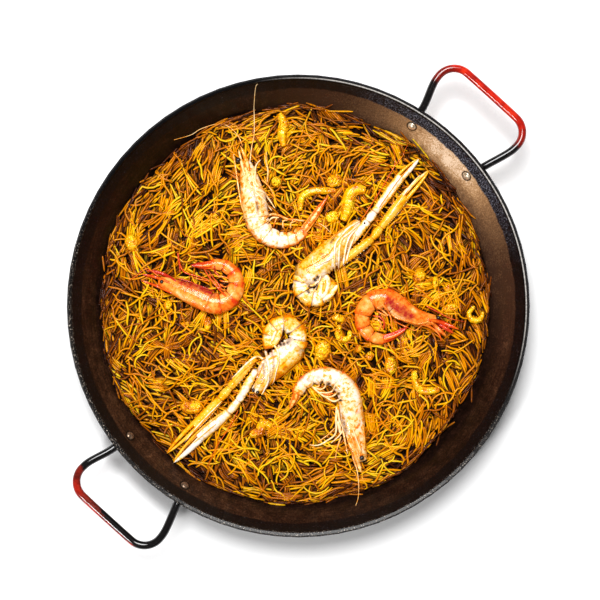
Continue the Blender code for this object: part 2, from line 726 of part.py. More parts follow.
def without_scraps(item):
    """Drops what the union left loose, such as a noodle that touches nothing."""
    work = bmesh.new()
    work.from_mesh(item.data)
    left = set(work.verts)
    bodies = []
    while left:
        seed = left.pop()
        body, edge = {seed}, [seed]
        while edge:
            for link in edge.pop().link_edges:
                for vertex in link.verts:
                    if vertex not in body:
                        body.add(vertex)
                        edge.append(vertex)
        left -= body
        bodies.append(body)
    bodies.sort(key=len)
    scraps = [vertex for body in bodies[:-1] for vertex in body]
    bmesh.ops.delete(work, geom=scraps, context="VERTS")
    work.to_mesh(item.data)
    work.free()
    return item


def make_noodles(parts, toppings):
    """The core with noodles fused on wherever there is room for them."""
    core = make_core(parts)
    tree = food_tree(toppings)
    draw = random.Random(SEED)
    source = new_collection("noodle_pieces")
    made = 0
    for _ in range(NOODLE_COUNT * 40):
        if made == NOODLE_COUNT:
            break
        route = noodle_route(draw)
        inside = all(math.hypot(p.x, p.y) < NOODLE_REACH for p in route)
        finer = eased(route, 4)
        if inside and all(is_free(tree, p) for p in finer):
            tube("noodle", route, [NOODLE_RADIUS] * len(route), source, 1.0, 0)
            made += 1
    return smooth(without_scraps(boolean(core, "UNION", source)))


def main():
    clear_scene()
    parts = new_collection("pan_of_fideua")
    make_pan(parts)
    for name, side in (("handle_front", 1), ("handle_back", -1)):
        make_handle(name, side, parts)
        for mark, turn in (("left", RIVET_TURN), ("right", -RIVET_TURN)):
            make_rivet(name.replace("handle", "rivet") + "_" + mark, side, turn, parts)
    toppings = [make_prawn(name, parts, "red" if "red" in name else "pale") for name in PRAWNS]
    toppings += [make_langoustine(name, parts, "langoustine") for name in LANGOUSTINES]
    draw = random.Random(SEED)
    toppings += [make_chunk(name, parts, draw) for name in CHUNKS]
    toppings += [make_strip(name, parts) for name in STRIPS]
    make_noodles(parts, toppings)


main()
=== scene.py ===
"""The looks of a wide steel pan of toasted noodles with prawns, langoustines and cuttlefish.

Metres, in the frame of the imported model. The pan stands on z = 0, its centre is on the Z
axis, and the X axis runs through both handles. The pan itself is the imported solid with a
finished material. The handles, rivets, noodles, shellfish and cut pieces are modelled here,
where their solids lie. Routes of thin limbs and spots of colour are places in the 600-pixel
photograph, x to the right and y down.
"""

import math
import random

import bmesh
import bpy
import numpy as np
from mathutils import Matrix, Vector, noise
from mathutils.bvhtree import BVHTree

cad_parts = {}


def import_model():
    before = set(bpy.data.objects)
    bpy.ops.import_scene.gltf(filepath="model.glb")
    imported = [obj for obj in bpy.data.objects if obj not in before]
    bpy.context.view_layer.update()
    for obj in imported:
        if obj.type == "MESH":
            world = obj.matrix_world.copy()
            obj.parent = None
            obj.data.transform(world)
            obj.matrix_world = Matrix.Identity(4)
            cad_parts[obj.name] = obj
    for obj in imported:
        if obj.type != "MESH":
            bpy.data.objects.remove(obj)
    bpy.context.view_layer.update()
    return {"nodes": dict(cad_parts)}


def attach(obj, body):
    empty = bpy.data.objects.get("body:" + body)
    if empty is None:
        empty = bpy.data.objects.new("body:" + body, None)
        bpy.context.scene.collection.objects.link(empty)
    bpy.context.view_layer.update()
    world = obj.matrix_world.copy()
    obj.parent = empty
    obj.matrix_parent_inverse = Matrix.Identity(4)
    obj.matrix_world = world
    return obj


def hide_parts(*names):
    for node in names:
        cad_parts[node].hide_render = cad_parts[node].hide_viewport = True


SEED = 7

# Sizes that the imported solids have.
PAN_HEIGHT = 0.048
RIM_RADIUS = 0.230
FLOOR_RADIUS = 0.191
SHEET = 0.0016
WALL_SPREAD = 0.798  # how far the wall moves out for each metre that it rises
GAP = 0.0003
REST = 0.0133  # the plane that the shellfish lies on
BODY_SUNK = 0.86  # height of a body's middle over that plane, over half its thickness

# Handles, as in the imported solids, but with rounder bends and a rod 0.3 mm thicker. Pairs
# are for the legs at +Y and at -Y.
ROD_RADIUS = 0.0040
BAR_REACH = 0.28485
BAR_HEIGHT = 0.0418
LEG_SPREAD = (0.0510, 0.0540)
RIM_CROSSING = (0.0416, 0.0456)  # the legs' distance from the X axis under the rim
BEND_RADIUS = 0.020
BEND_STEPS = 6
PLATE_SIZE = (0.020, 0.013, 0.003)
PLATE_LIFT = 0.0028  # how far up the wall the plate's middle lies from its rivet
RIVET_TURN = math.radians(10.0)
RIVET_HEIGHT = 0.030
RIVET_HEAD = 0.0043
RIVET_SHANK = 0.0024
RIVETS = {
    "rivet_front_left": (1, RIVET_TURN),
    "rivet_front_right": (1, -RIVET_TURN),
    "rivet_back_left": (-1, RIVET_TURN),
    "rivet_back_right": (-1, -RIVET_TURN),
}

# The photograph's frame: camera height, the roll that puts +X up and to the right, the
# picture's width, the rim's width in it and the pan's centre in it.
CAMERA_HEIGHT = 1.4
CAMERA_ROLL = math.radians(47.7)
PICTURE = 600
RIM_PIXELS = 463.8
CENTRE_PIXEL = (298.3, 305.9)
SENSOR = 36.0
FOOD_HEIGHT = 0.020  # the height at which a pixel of the food is measured
FEELER_TOP = PAN_HEIGHT - 0.0015

# Lights: degrees from the photograph's right, height, distance from the axis, diameter and
# power in watts.
LIGHTS = {
    "key": (97, 1.70, 0.78, 1.00, 46),
    "low_fill": (227.7, 0.95, 1.15, 0.24, 8),
}
WORLD_LIGHT = 0.16
FLOOR_HALF = 4.0

# Where the pan's colours change: from one height to the next, and at a distance from the axis, where a
# painted highlight line runs round the rim.
BAND_FROM = (0.0342, 0.0360)
RIM_FROM = (0.0438, 0.0450)
RIM_HIGHLIGHT_LINE = 0.2263

# The noodle bed.
CORE_HEIGHT = 0.0100
CORE_RADIUS = 0.1955
CELL = 0.0005  # of the bed's height map
COARSE = 2  # cells of the map for each cell of the toppings' map, each way
MAP_HALF = 0.212
BED_TOP = 0.0188
BED_SWELL = 0.0046  # how much clumps and hollows differ in height
NOODLE_POINTS = 7
NOODLE_SIDES = 5
NOODLE_RADIUS = (0.00090, 0.00128)
NOODLE_LENGTH = (0.016, 0.036)
NOODLE_SUNK = 0.35  # how far a noodle sinks in among the others, over its radius
BUNDLES = 1850
SINGLES = 900
LOOSE_CURLS = 80
EDGE_STRAYS = 190
FOOD_RADIUS = 0.1985

# How the bed changes towards its edge: a distance from the axis and the run beyond it.
ROUND_EDGE = (0.150, 0.040)  # the noodles begin to lie round the pan
ORDERED_EDGE = (0.160, 0.030)  # bundles begin to stray less from that
SPARSE_EDGE = (0.158, 0.030)  # the noodles thin out, on one side
TOASTED_EDGE = (0.186, 0.012)  # the noodles begin to be toasted

# Sides of the pan, in degrees from +X.
SPARSE_SIDE = -40
DRAWN_IN_SIDE = -60
TOASTED_SIDES = (10, 175)

# Prawns: nose, heading in degrees, then (length, turn) of the head, the curled tail and the
# tail fan, and half the body's depth. A positive turn goes anticlockwise.
PRAWNS = {
    "prawn_pale_top": ((0.071, 0.137), -123, ((0.056, -7), (0.063, 133), (0.043, 7)), 0.0125),
    "prawn_pale_low": ((-0.072, -0.153), 59, ((0.062, -11), (0.075, 155), (0.018, -11)), 0.0118),
    "prawn_red_left": ((-0.076, 0.121), -69, ((0.054, -4), (0.077, 220), (0.022, -23)), 0.0108),
    "prawn_red_right": ((0.083, -0.112), 135, ((0.043, -48), (0.082, 228), (0.027, 39)), 0.0108),
}
PRAWN_FLAT = 0.74

# Langoustines: nose, heading, (length, turn) of the body and of the tail, half the depth.
LANGOUSTINES = {
    "langoustine_upper": ((0.104, 0.013), 186, ((0.075, -15), (0.056, 238)), 0.0140),
    "langoustine_lower": ((-0.094, -0.028), 14, ((0.058, -24), (0.068, 262)), 0.0130),
}
LANGOUSTINE_FLAT = 0.80

# Each arm: shoulder, elbow, wrist, claw's knuckle and claw's tip; how golden the arm is;
# the two fingers as (side, half width in mm, how golden); bead rows as places across the
# claw, from -1 to 1; and how broad the claw is. Side 1 is to the left of the arm as seen
# from the shoulder.
ARMS = {
    "langoustine_upper": (
        (((0.072, 0.004), (0.111, 0.0055), (0.122, 0.0068), (0.166, 0.0112), (0.192, 0.0100)),
         0.05, ((1, 1.5, 0.45), (-1, 2.8, 0.02)), (-0.95,), 1.0),
        (((0.056, -0.002), (0.101, -0.0095), (0.115, -0.0083), (0.154, -0.0055), (0.190, -0.0055)),
         0.62, ((1, 2.3, 0.34), (-1, 2.2, 0.64)), (0.90, 0.05, -0.90), 1.04),
    ),
    "langoustine_lower": (
        (((-0.068, -0.003), (-0.108, -0.0045), (-0.123, -0.005), (-0.160, -0.0040), (-0.200, -0.002)),
         0.62, ((-1, 2.4, 0.66), (1, 2.0, 0.40)), (-0.55, 0.90), 1.05),
        (((-0.077, -0.012), (-0.112, -0.020), (-0.127, -0.0205), (-0.1660, -0.0152), (-0.2025, -0.0134)),
         0.05, ((-1, 1.9, 0.50), (1, 3.4, 0.02)), (-0.92,), 1.22),
    ),
}

# Thin parts draped over the shellfish and the noodles: outline, half width in mm, how golden,
# how crimson, and the route.
STROKES = {
    "prawn_pale_top": (
        ("leaf", 2.3, 0.50, 0.00, ((249, 171), (246, 160), (240.5, 146))),
        ("leaf", 1.5, 0.35, 0.00, ((245, 176), (241, 161), (238.4, 149))),
        ("leaf", 1.4, 0.60, 0.00, ((250.5, 171), (247, 160), (244.5, 152))),
        ("bar", 0.9, 0.42, 0.00, ((233.3, 154), (234.8, 164), (237.6, 183), (241, 203), (244, 213))),
        ("leg", 1.4, 0.05, 0.00,
         ((259.4, 187.4), (255.6, 182.8), (255.2, 174.4), (256, 165.2), (260.2, 159.5))),
        ("leg", 0.9, 0.30, 0.00, ((267.1, 182), (267.8, 170.6), (265.9, 159.1), (266.7, 151.5))),
        ("leg", 1.0, 0.60, 0.00, ((261.7, 179.8), (267.8, 185.1), (271.7, 191.3), (274, 197.4))),
        ("leg", 1.4, 0.02, 0.00, ((257.1, 190.5), (263.3, 192.8), (268.6, 198.9), (274.7, 208.1))),
        ("leg", 1.3, 0.10, 0.00, ((256, 193), (263.3, 199.7), (267.8, 205.8), (271.7, 210.5))),
        ("leg", 1.0, 0.55, 0.00, ((259, 187), (265, 192), (269, 200))),
        ("bar", 1.3, 0.62, 0.22,
         ((264.5, 220), (267, 217), (271.7, 214.4), (278.6, 215.2), (286.2, 218.6), (294, 219.8),
          (304, 221))),
        ("bar", 0.9, 0.40, 0.05, ((267, 224), (272, 218), (279, 217.6))),
        ("bar", 0.9, 0.30, 0.00, ((283, 228), (283, 221.5), (288, 219.6))),
        ("bar", 0.9, 0.35, 0.00, ((290.5, 229), (291, 223), (296, 221))),
        ("bar", 0.9, 0.75, 0.10, ((273, 228), (275, 222), (277, 217))),
        ("leg", 0.6, 0.35, 0.15, ((319, 223.5), (325, 227), (330.6, 232.6))),
    ),
    "prawn_pale_low": (
        ("bar", 1.0, 0.05, 0.00,
         ((341.2, 397.7), (334.2, 401.6), (326, 397.5), (319.5, 393.3), (311.9, 386.3))),
        ("bar", 0.9, 0.10, 0.00, ((335, 385), (332, 391.5), (326, 393), (318.5, 392.5))),
        ("bar", 0.9, 0.15, 0.00, ((326, 381), (325, 387), (320, 389.5), (312, 387))),
        ("bar", 0.8, 0.20, 0.00, ((318, 381), (319, 386), (314, 388))),
        ("bar", 0.9, 0.10, 0.00, ((338, 388), (336, 394), (330, 397), (324, 396))),
        ("bar", 1.0, 0.90, 0.20, ((333, 393.5), (327, 394.6), (321, 392.8))),
        ("leg", 1.2, 0.12, 0.00,
         ((336.5, 407.5), (336.1, 418.8), (335.5, 434), (326, 441.7), (317.6, 445.6), (309.3, 445.2))),
        ("leg", 0.8, 0.50, 0.00, ((334.5, 429), (327, 436), (318.3, 441.7))),
        ("leg", 1.2, 0.05, 0.00, ((337.5, 410), (339.9, 422), (343.1, 429), (339.5, 436), (331, 443.6))),
        ("leaf", 1.7, 0.02, 0.00, ((337.5, 421), (339.5, 428), (340.2, 434))),
        ("leg", 1.2, 0.30, 0.00, ((342.8, 429), (345.1, 441.1), (347.7, 454.5))),
        ("leg", 1.0, 0.35, 0.00, ((341.1, 437.5), (337.4, 447.7), (335.2, 460.1))),
        ("leaf", 1.6, 0.60, 0.05, ((347, 436), (350, 446), (353, 456))),
        ("bar", 0.9, 0.02, 0.00, ((352.8, 429.3), (356.5, 440), (360.9, 451.3))),
        ("bar", 0.8, 0.10, 0.00, ((346.9, 438.1), (350.5, 446), (354.3, 453))),
        ("bar", 1.0, 0.62, 0.10, ((362.3, 424), (364.2, 438), (364.0, 450))),
        ("leaf", 2.6, 0.52, 0.00, ((352.5, 447), (357, 460), (361.4, 473))),
        ("bar", 0.9, 0.55, 0.00, ((350, 432), (354, 444), (358.5, 455))),
        ("bar", 0.9, 0.60, 0.00, ((357.5, 436), (360, 446), (361, 453))),
        ("leaf", 1.4, 0.35, 0.00, ((351.5, 450), (354, 460), (356.8, 469))),
    ),
    "prawn_red_left": (
        ("leaf", 1.9, 0.95, 0.50, ((176, 281), (161, 273.5), (146, 270.2))),
        ("leaf", 1.7, 0.80, 0.25, ((170, 283), (156, 277.5), (141.9, 274.5))),
        ("leaf", 1.3, 0.85, 0.10, ((172, 293.5), (157, 286.5), (141, 280.5))),
        ("leg", 1.0, 0.75, 0.25,
         ((177.8, 253.1), (179.4, 263.8), (184, 272), (193.1, 275.2), (203.9, 278.3), (209, 281))),
        ("leg", 0.9, 0.80, 0.35, ((178.3, 258), (179.2, 266), (179.9, 274))),
        ("leg", 1.2, 0.72, 0.25, ((226, 296), (219.2, 289.8), (212.3, 281.4), (206.2, 273), (201.6, 263))),
        ("leg", 0.9, 0.75, 0.45, ((221, 288), (214, 279), (208, 270.5))),
        ("leg", 0.8, 0.60, 0.15, ((209, 281), (200, 279.5), (191, 277))),
        ("bar", 0.8, 0.40, 0.00, ((228, 278.5), (222.5, 276.8), (218, 277))),
        ("bar", 0.8, 0.45, 0.00, ((228.5, 282), (223, 281.4), (219.5, 280.5))),
        ("bar", 0.8, 0.50, 0.05, ((228.5, 286), (224, 287), (219.5, 284))),
        ("bar", 0.8, 0.45, 0.10, ((227, 290.5), (222.5, 290), (218.5, 286.5))),
        ("bar", 0.9, 0.75, 0.60, ((214.5, 266), (215, 272), (219, 276))),
        ("bar", 0.8, 0.85, 0.70, ((178, 279), (188, 281.5), (199, 286), (215, 291.5))),
    ),
    "prawn_red_right": (
        ("leaf", 2.2, 0.72, 0.05, ((427, 319.5), (442, 322.8), (459.5, 329.6))),
        ("leaf", 2.3, 0.45, 0.22, ((431, 322), (439.5, 330), (446.5, 336))),
        ("leaf", 2.1, 0.80, 0.30, ((437, 323), (446, 328.5), (454.5, 333.8))),
        ("leg", 1.3, 0.62, 0.05, ((422, 324.3), (430, 327.3), (436.1, 331), (440.1, 335.8), (441.7, 341.4))),
        ("leg", 0.8, 0.30, 0.00, ((430.5, 319), (421.8, 325.5), (415.4, 330.6), (408.2, 327.8))),
        ("leg", 0.8, 0.65, 0.15, ((408.2, 327.8), (399.4, 323.9), (393.1, 319.9))),
        ("leg", 1.1, 0.50, 0.05, ((381.9, 304.5), (388.3, 311.9), (391.2, 320), (392.3, 331))),
        ("bar", 1.0, 0.15, 0.00, ((377.1, 307.5), (383, 311), (388.3, 315.9))),
        ("bar", 0.9, 0.45, 0.00, ((376.5, 311), (382, 314), (387, 316.5))),
        ("bar", 1.3, 0.45, 0.00, ((391.5, 314.5), (397, 318), (405.8, 320.5), (418, 323.6), (428, 322))),
        ("bar", 1.1, 0.75, 0.45, ((373.1, 315.9), (380.3, 317.5), (384.3, 323.1), (383, 330))),
        ("bar", 0.9, 0.40, 0.25, ((374, 319), (379, 320.5), (381, 325), (379, 331))),
        ("leg", 0.8, 0.75, 0.50, ((426.6, 306.3), (437.7, 311.9), (449.7, 318.3), (465.6, 322.3))),
    ),
    "langoustine_upper": (
        ("bar", 1.2, 0.00, 0.00,
         ((360.3, 220.7), (348.8, 227.8), (341.1, 236), (335.4, 243.7), (334.1, 253.3), (334.7, 271.1))),
        ("bar", 1.2, 0.00, 0.00,
         ((357.1, 225.8), (348.8, 233.5), (341.1, 240.5), (338.6, 253.3), (338.6, 269.2))),
        ("bar", 1.2, 0.02, 0.00, ((355.8, 229.7), (350, 236), (346.2, 245), (344.3, 255.8), (343, 264.7))),
        ("bar", 1.2, 0.05, 0.00, ((355.6, 234.1), (351.3, 243.7), (348, 253.3), (346.4, 260.9))),
        ("bar", 1.1, 0.85, 0.10, ((355.2, 220.1), (342.4, 229.7), (329.6, 239.6))),
        ("bar", 0.9, 0.00, 0.00, ((333.5, 257.7), (324.5, 262.2), (315.6, 266), (312.3, 261.5), (313, 256))),
        ("bar", 1.0, 0.02, 0.00, ((312.4, 292.8), (316, 288), (318.2, 283.9), (320.7, 275.5))),
        ("bar", 1.0, 0.10, 0.00, ((310, 286), (314, 284.8), (318.5, 281))),
        ("bar", 1.0, 0.10, 0.00, ((309.5, 291.5), (314, 290.5), (317, 292))),
        ("bar", 0.5, 0.85, 0.05, ((379, 208), (390, 192), (401, 177), (409, 168))),
        ("bar", 0.5, 0.60, 0.25, ((385, 205), (395, 191), (404, 179))),
        # Painted highlight: a white line along the golden claw.
        ("bar", 0.6, 0.00, 0.00, ((391, 213), (401, 199), (411, 185), (420, 175))),
        ("bar", 0.6, 0.75, 0.15, ((306, 268), (318, 262), (330, 252), (339, 238))),
    ),
    "langoustine_lower": (
        ("leg", 1.2, 0.05, 0.00,
         ((274.4, 345.2), (277.8, 350.9), (278.4, 362.4), (276.1, 371.6), (274.4, 379.6), (272.1, 384.8))),
        ("leg", 1.6, 0.00, 0.00,
         ((265.2, 350.9), (267.5, 359.5), (269.2, 368.1), (268.1, 381.3), (264.6, 389.4), (261.7, 395))),
        ("leaf", 2.4, 0.02, 0.00, ((264.5, 360), (260, 368), (256, 379))),
        ("leg", 1.4, 0.05, 0.00, ((262.9, 359), (256.6, 356.7), (248, 362.4), (239.4, 371), (231.3, 379.1))),
        ("leg", 1.0, 0.70, 0.05, ((258, 360), (250, 364.5), (242, 372.5), (233, 382.5))),
        ("bar", 1.0, 0.45, 0.00, ((276.5, 355.5), (271, 358), (268.5, 360))),
        ("bar", 1.0, 0.10, 0.00, ((264, 375), (257, 381.5), (252, 389))),
        ("bar", 0.9, 0.30, 0.00, ((257, 384), (262, 382), (265, 379))),
        ("bar", 0.5, 0.85, 0.05, ((222, 414), (207, 425), (193, 438), (182, 451))),
        ("bar", 0.5, 0.60, 0.15, ((216, 424), (204, 434), (194, 443))),
        # Painted highlight: a white line along the golden claw.
        ("bar", 0.6, 0.00, 0.00, ((222, 401), (208, 415), (196, 428), (184, 443))),
        ("bar", 0.7, 0.85, 0.10, ((263, 366), (259, 375), (254, 386))),
    ),
}

# Oval plates that lie at a level of their own: half width, thickness over width, level of
# the upper face in mm, how golden, how crimson, and the route.
PLATES_LAID = {
    "langoustine_upper": (
        (6.2, 0.30, 27.5, 0.12, 0.00, ((326.3, 274.5), (323.9, 287.1), (319.2, 299.5))),
        (2.7, 0.45, 27.8, 0.75, 0.00, ((325.3, 279), (324, 287), (321.5, 295))),
        (3.3, 0.40, 26.0, 0.20, 0.00, ((337, 285.5), (330.5, 294), (323, 300.5))),
    ),
    "langoustine_lower": (
        (4.0, 0.40, 26.5, 0.30, 0.00, ((281, 330), (276.5, 338), (272.6, 347))),
        (1.7, 0.60, 27.4, 0.00, 0.00, ((276.5, 330), (274, 335), (271.8, 341))),
    ),
}

# Spots of colour on a body: layer, amount, radius in pixels, places. On the shade layer they are painted
# shade, in holes, gaps and creases.
MARKS = {
    "prawn_pale_top": (
        ("shade", 1.0, 1.7, ((268.6, 223), (279.7, 222), (279.7, 226), (287.7, 227.2), (295.4, 225.3))),
        ("shade", 0.30, 3.0, ((258, 204), (259, 208))),
        ("shade", 0.5, 1.3, ((257.5, 222), (256, 225))),
        ("blush", 0.55, 2.6, ((304.5, 231.5), (310, 230), (307.5, 226))),
        ("warm", 0.35, 5.0, ((249, 185), (246, 196), (252, 207), (262, 212))),
        ("warm", 0.40, 4.5, ((241, 164), (245, 167), (249, 172), (241, 172))),
        ("warm", 0.40, 3.0, ((262, 222), (272, 226), (287, 232), (298, 231), (258, 229))),
    ),
    "prawn_pale_low": (
        ("shade", 1.0, 1.7, ((314.8, 384), (321.5, 382.4), (325.9, 388.8), (334.8, 387.5), (338.4, 393.9))),
        ("shade", 1.1, 2.3, ((328.5, 383.7), (339.6, 399.6))),
        ("blush", 0.45, 3.0, ((318, 376), (303, 376), (309, 380))),
        ("blush", 0.50, 3.0, ((300, 379), (357.2, 411.8))),
        ("shade", 0.35, 3.0, ((345, 417), (344, 423), (346.5, 429))),
        ("blush", 0.55, 1.5, ((356.5, 427.1), (358.5, 424))),
        ("warm", 0.25, 6.0, ((353, 417), (352, 428), (357, 437))),
        ("warm", 0.55, 5.0, ((352, 440), (356, 446), (358, 452), (361, 457))),
    ),
    "prawn_red_left": (
        # Painted highlights: white glints along the tail.
        ("warm", -0.22, 2.6, ((240, 283), (236, 274), (218, 304.5), (213, 305), (232, 294.5), (236, 296))),
        ("shade", 0.9, 1.4, ((224, 283.5), (222.5, 291.5), (218, 272))),
        ("blush", 1.0, 3.0, ((201, 263.5), (205, 263))),
    ),
    "prawn_red_right": (
        ("shade", 0.50, 3.0, ((410.6, 301.5), (413, 303))),
        # Painted highlights on the head.
        ("warm", -0.60, 2.6, ((414.6, 311.1), (412.5, 309.5), (389.5, 308.5))),
        # Painted highlight on the tail's last plate.
        ("warm", -0.45, 3.0, ((366, 331), (370, 336), (374, 340))),
        ("warm", -0.20, 3.4, ((367, 300), (376, 298.5), (364, 309), (366, 318))),
        ("shade", 0.9, 2.4, ((377, 325.5), (378.5, 328))),
    ),
    "langoustine_upper": (
        ("shade", 1.1, 2.4, ((315, 280.1), (317.5, 277.5), (309.4, 286.6), (308.8, 292.2), (316.4, 289))),
        ("warm", 0.55, 3.0, ((318, 259), (323, 258), (328, 255.5), (321, 255))),
        ("warm", 0.50, 2.6, ((328, 270.5), (333, 272), (338, 270), (331, 274))),
        ("shade", 0.5, 1.8, ((326, 273.5), (331, 276))),
    ),
    "langoustine_lower": (
        ("shade", 1.1, 2.2, ((281, 344.5), (284, 343.8), (288, 342.5), (290, 340), (291, 344))),
        ("warm", 0.55, 4.5, ((284, 366), (280, 374), (276, 382))),
        ("warm", 0.5, 2.5, ((262, 375), (260, 382), (255, 384))),
        ("shade", 0.9, 1.5, ((256, 368.7), (256.5, 372.5))),
    ),
}

# Streaks of colour on a body: layer, amount, radius in pixels, route. On the shade layer they are painted
# shade, in gaps and grooves.
STREAKS = {
    "prawn_red_left": (
        ("blush", 0.95, 4.0, ((181, 281), (190, 284), (202, 288.5), (213, 294))),
        ("shade", 0.55, 1.6, ((184, 280), (196, 283.5), (208, 288.5), (214, 291.5))),
        # Painted highlight along the lower edge of the head.
        ("warm", -0.30, 3.0, ((173, 289), (182, 296), (192, 300), (203, 304))),
    ),
    "prawn_red_right": (
        ("blush", 0.95, 5.2, ((390, 303), (397, 308), (404, 313), (409, 317))),
        ("shade", 0.15, 1.8, ((395, 303), (401, 308.5), (406, 313))),
        # Painted highlight along the lower edge of the crimson patch.
        ("warm", -0.50, 1.6, ((391, 312), (398, 317), (406, 321))),
    ),
    "prawn_pale_top": (
        ("shade", 0.45, 1.6, ((251, 186), (254, 196), (257, 206), (258, 214))),
    ),
    "prawn_pale_low": (
        ("shade", 0.40, 2.0, ((341, 414), (344, 424), (346, 434))),
    ),
    "langoustine_upper": (
        ("shade", 0.40, 1.5, ((357, 223.5), (346, 232), (338.8, 245), (336.5, 262))),
        ("shade", 0.40, 1.4, ((355.5, 228), (347.5, 238), (342.5, 251), (340.8, 266))),
        ("shade", 0.40, 1.4, ((355, 232.5), (350.5, 240), (346.5, 251), (345, 262))),
        ("warm", 0.50, 5.0, ((352, 232), (345, 244), (341, 260))),
        ("shade", 0.55, 1.6, ((360, 219), (347, 225), (337, 234), (331, 243))),
        ("shade", 0.30, 3.0, ((312, 262), (317, 254), (325, 247), (333, 240))),
        ("warm", 0.45, 2.0, ((304, 268), (311, 273), (320, 270), (331, 262))),
    ),
    "langoustine_lower": (
        ("shade", 0.60, 1.8, ((271, 350), (274, 361), (272.5, 374), (268, 387))),
        ("shade", 0.60, 1.8, ((262, 362), (264.5, 371), (262, 382))),
    ),
}

# Eyes: place and radius in mm.
EYES = {
    "prawn_pale_top": (((238.0, 160.0), 2.9),),
    "prawn_pale_low": (((361.6, 457.6), 2.5),),
    "prawn_red_left": (((161.8, 281.8), 1.9),),
    "prawn_red_right": (((438.6, 317.8), 2.0),),
    "langoustine_upper": (((359.0, 218.6), 1.8), ((364.4, 223.4), 1.0)),
    "langoustine_lower": (((253.2, 390.5), 1.8), ((257.6, 392.5), 1.8)),
}

# Feelers: slot, how golden, how crimson, half width in mm and the route.
FEELERS = (
    ("feeler_top_rim", "prawn_pale", 0.15, 0.0, 0.55,
     ((250, 161), (251.5, 148), (254, 135), (254.2, 118), (254, 105), (255.5, 88), (257.5, 84))),
    ("feeler_top_left", "prawn_pale", 0.50, 0.1, 0.55,
     ((243, 147), (238, 136), (229, 127), (218, 124), (201, 129), (191, 135), (174, 140))),
    ("feeler_low", "prawn_pale", 0.30, 0.0, 0.65,
     ((352.8, 455.7), (356.5, 468.2), (358.3, 479.9), (358.7, 490.2), (357.9, 499), (355.7, 505.6))),
    ("feeler_red_left_1", "prawn_red", 0.60, 0.1, 0.60,
     ((158, 276), (150, 270), (145.7, 269.1), (135, 276.8), (128, 281))),
    ("feeler_upper_1", "langoustine", 0.85, 0.75, 0.65,
     ((361, 220.3), (366.8, 212), (375.7, 197.9), (383.4, 185.8), (389.1, 175.6), (394.2, 166.7),
      (394.8, 159), (394.2, 152.7), (391, 145.6))),
    ("feeler_upper_2", "langoustine", 0.85, 0.60, 0.50,
     ((392.5, 169), (395.5, 164.8), (401.9, 157.1), (404.4, 151.4), (407, 145.6), (408, 141))),
    ("feeler_lower", "langoustine", 0.85, 0.80, 0.55,
     ((237.9, 410.8), (232.2, 422.3), (225.2, 433.8), (218.8, 443.3), (213.7, 452.3), (207.9, 466.9))),
)


# ---------------------------------------------------------------- places and curves


def rolled(right, up):
    """X and Y of what lies so far to the right and up in the photograph."""
    cosine, sine = math.cos(CAMERA_ROLL), math.sin(CAMERA_ROLL)
    return right * cosine + up * sine, up * cosine - right * sine


def pixel(points):
    """Places in the photograph, at the food's height, as places in the frame."""
    points = np.asarray(points, float)
    scale = 2 * RIM_RADIUS / RIM_PIXELS * (CAMERA_HEIGHT - FOOD_HEIGHT) / (CAMERA_HEIGHT - PAN_HEIGHT)
    right = (points[..., 0] - CENTRE_PIXEL[0]) * scale
    up = (CENTRE_PIXEL[1] - points[..., 1]) * scale
    return np.stack(rolled(right, up), axis=-1)


def pointing(angle):
    return np.array((math.cos(angle), math.sin(angle)))


def left_of(way):
    return np.array((-way[1], way[0]))


def from_axis(points):
    return np.hypot(points[..., 0], points[..., 1])


def turns(count):
    """Angles spread evenly over a full turn."""
    return np.arange(count) / count * 2 * math.pi


def walk(start, heading, runs, step):
    """Points (n, 2), headings (n) and lengths from the start (n), along arcs."""
    place = np.array(start, float)
    angle = math.radians(heading)
    points, angles, lengths = [place.copy()], [angle], [0.0]
    for length, turn in runs:
        count = max(2, round(length / step))
        bend = math.radians(turn) / count
        for _ in range(count):
            middle = angle + bend / 2
            place = place + pointing(middle) * length / count
            angle += bend
            points.append(place)
            angles.append(angle)
            lengths.append(lengths[-1] + length / count)
    return np.array(points), np.array(angles), np.array(lengths)


def along_route(route, at):
    """Places and headings at lengths along a walked route."""
    points, angles, known = route
    x = np.interp(at, known, points[:, 0])
    y = np.interp(at, known, points[:, 1])
    return np.column_stack([x, y]), np.interp(at, known, angles)


def eased(points, count):
    """A smooth curve through the points, as count evenly spread points."""
    points = np.asarray(points, float)
    ends = np.concatenate([[2 * points[0] - points[1]], points, [2 * points[-1] - points[-2]]])
    made = []
    for place in np.linspace(0, len(points) - 1, count):
        i = min(int(place), len(points) - 2)
        t = place - i
        a, b, c, d = ends[i : i + 4]
        square = (2 * a - 5 * b + 4 * c - d) * t**2
        cubic = (3 * b - a - 3 * c + d) * t**3
        made.append(0.5 * (2 * b + (c - a) * t + square + cubic))
    return np.array(made)


def step_up(low, high, value):
    """0 below low, 1 above high and smooth between."""
    t = np.clip((value - low) / (high - low), 0, 1)
    return t * t * (3 - 2 * t)


def ramped(value, low, run):
    """0 below low, then straight up to 1 over the run."""
    return min(1.0, max(0.0, (value - low) / run))


def bell(value, middle, width):
    """1 at the middle, falling smoothly to either side."""
    return np.exp(-(((value - middle) / width) ** 2))


def unit(vectors):
    return vectors / np.maximum(np.linalg.norm(vectors, axis=-1, keepdims=True), 1e-12)


def wall_height(reach):
    """Height of the wall's inner face at a distance from the axis."""
    return SHEET + np.maximum(0.0, reach - FLOOR_RADIUS) / WALL_SPREAD


# ---------------------------------------------------------------- meshes

# What each point of a mesh says to its material: how golden, how crimson, and how dark with painted shade.
LAYERS = ("warm", "blush", "shade")


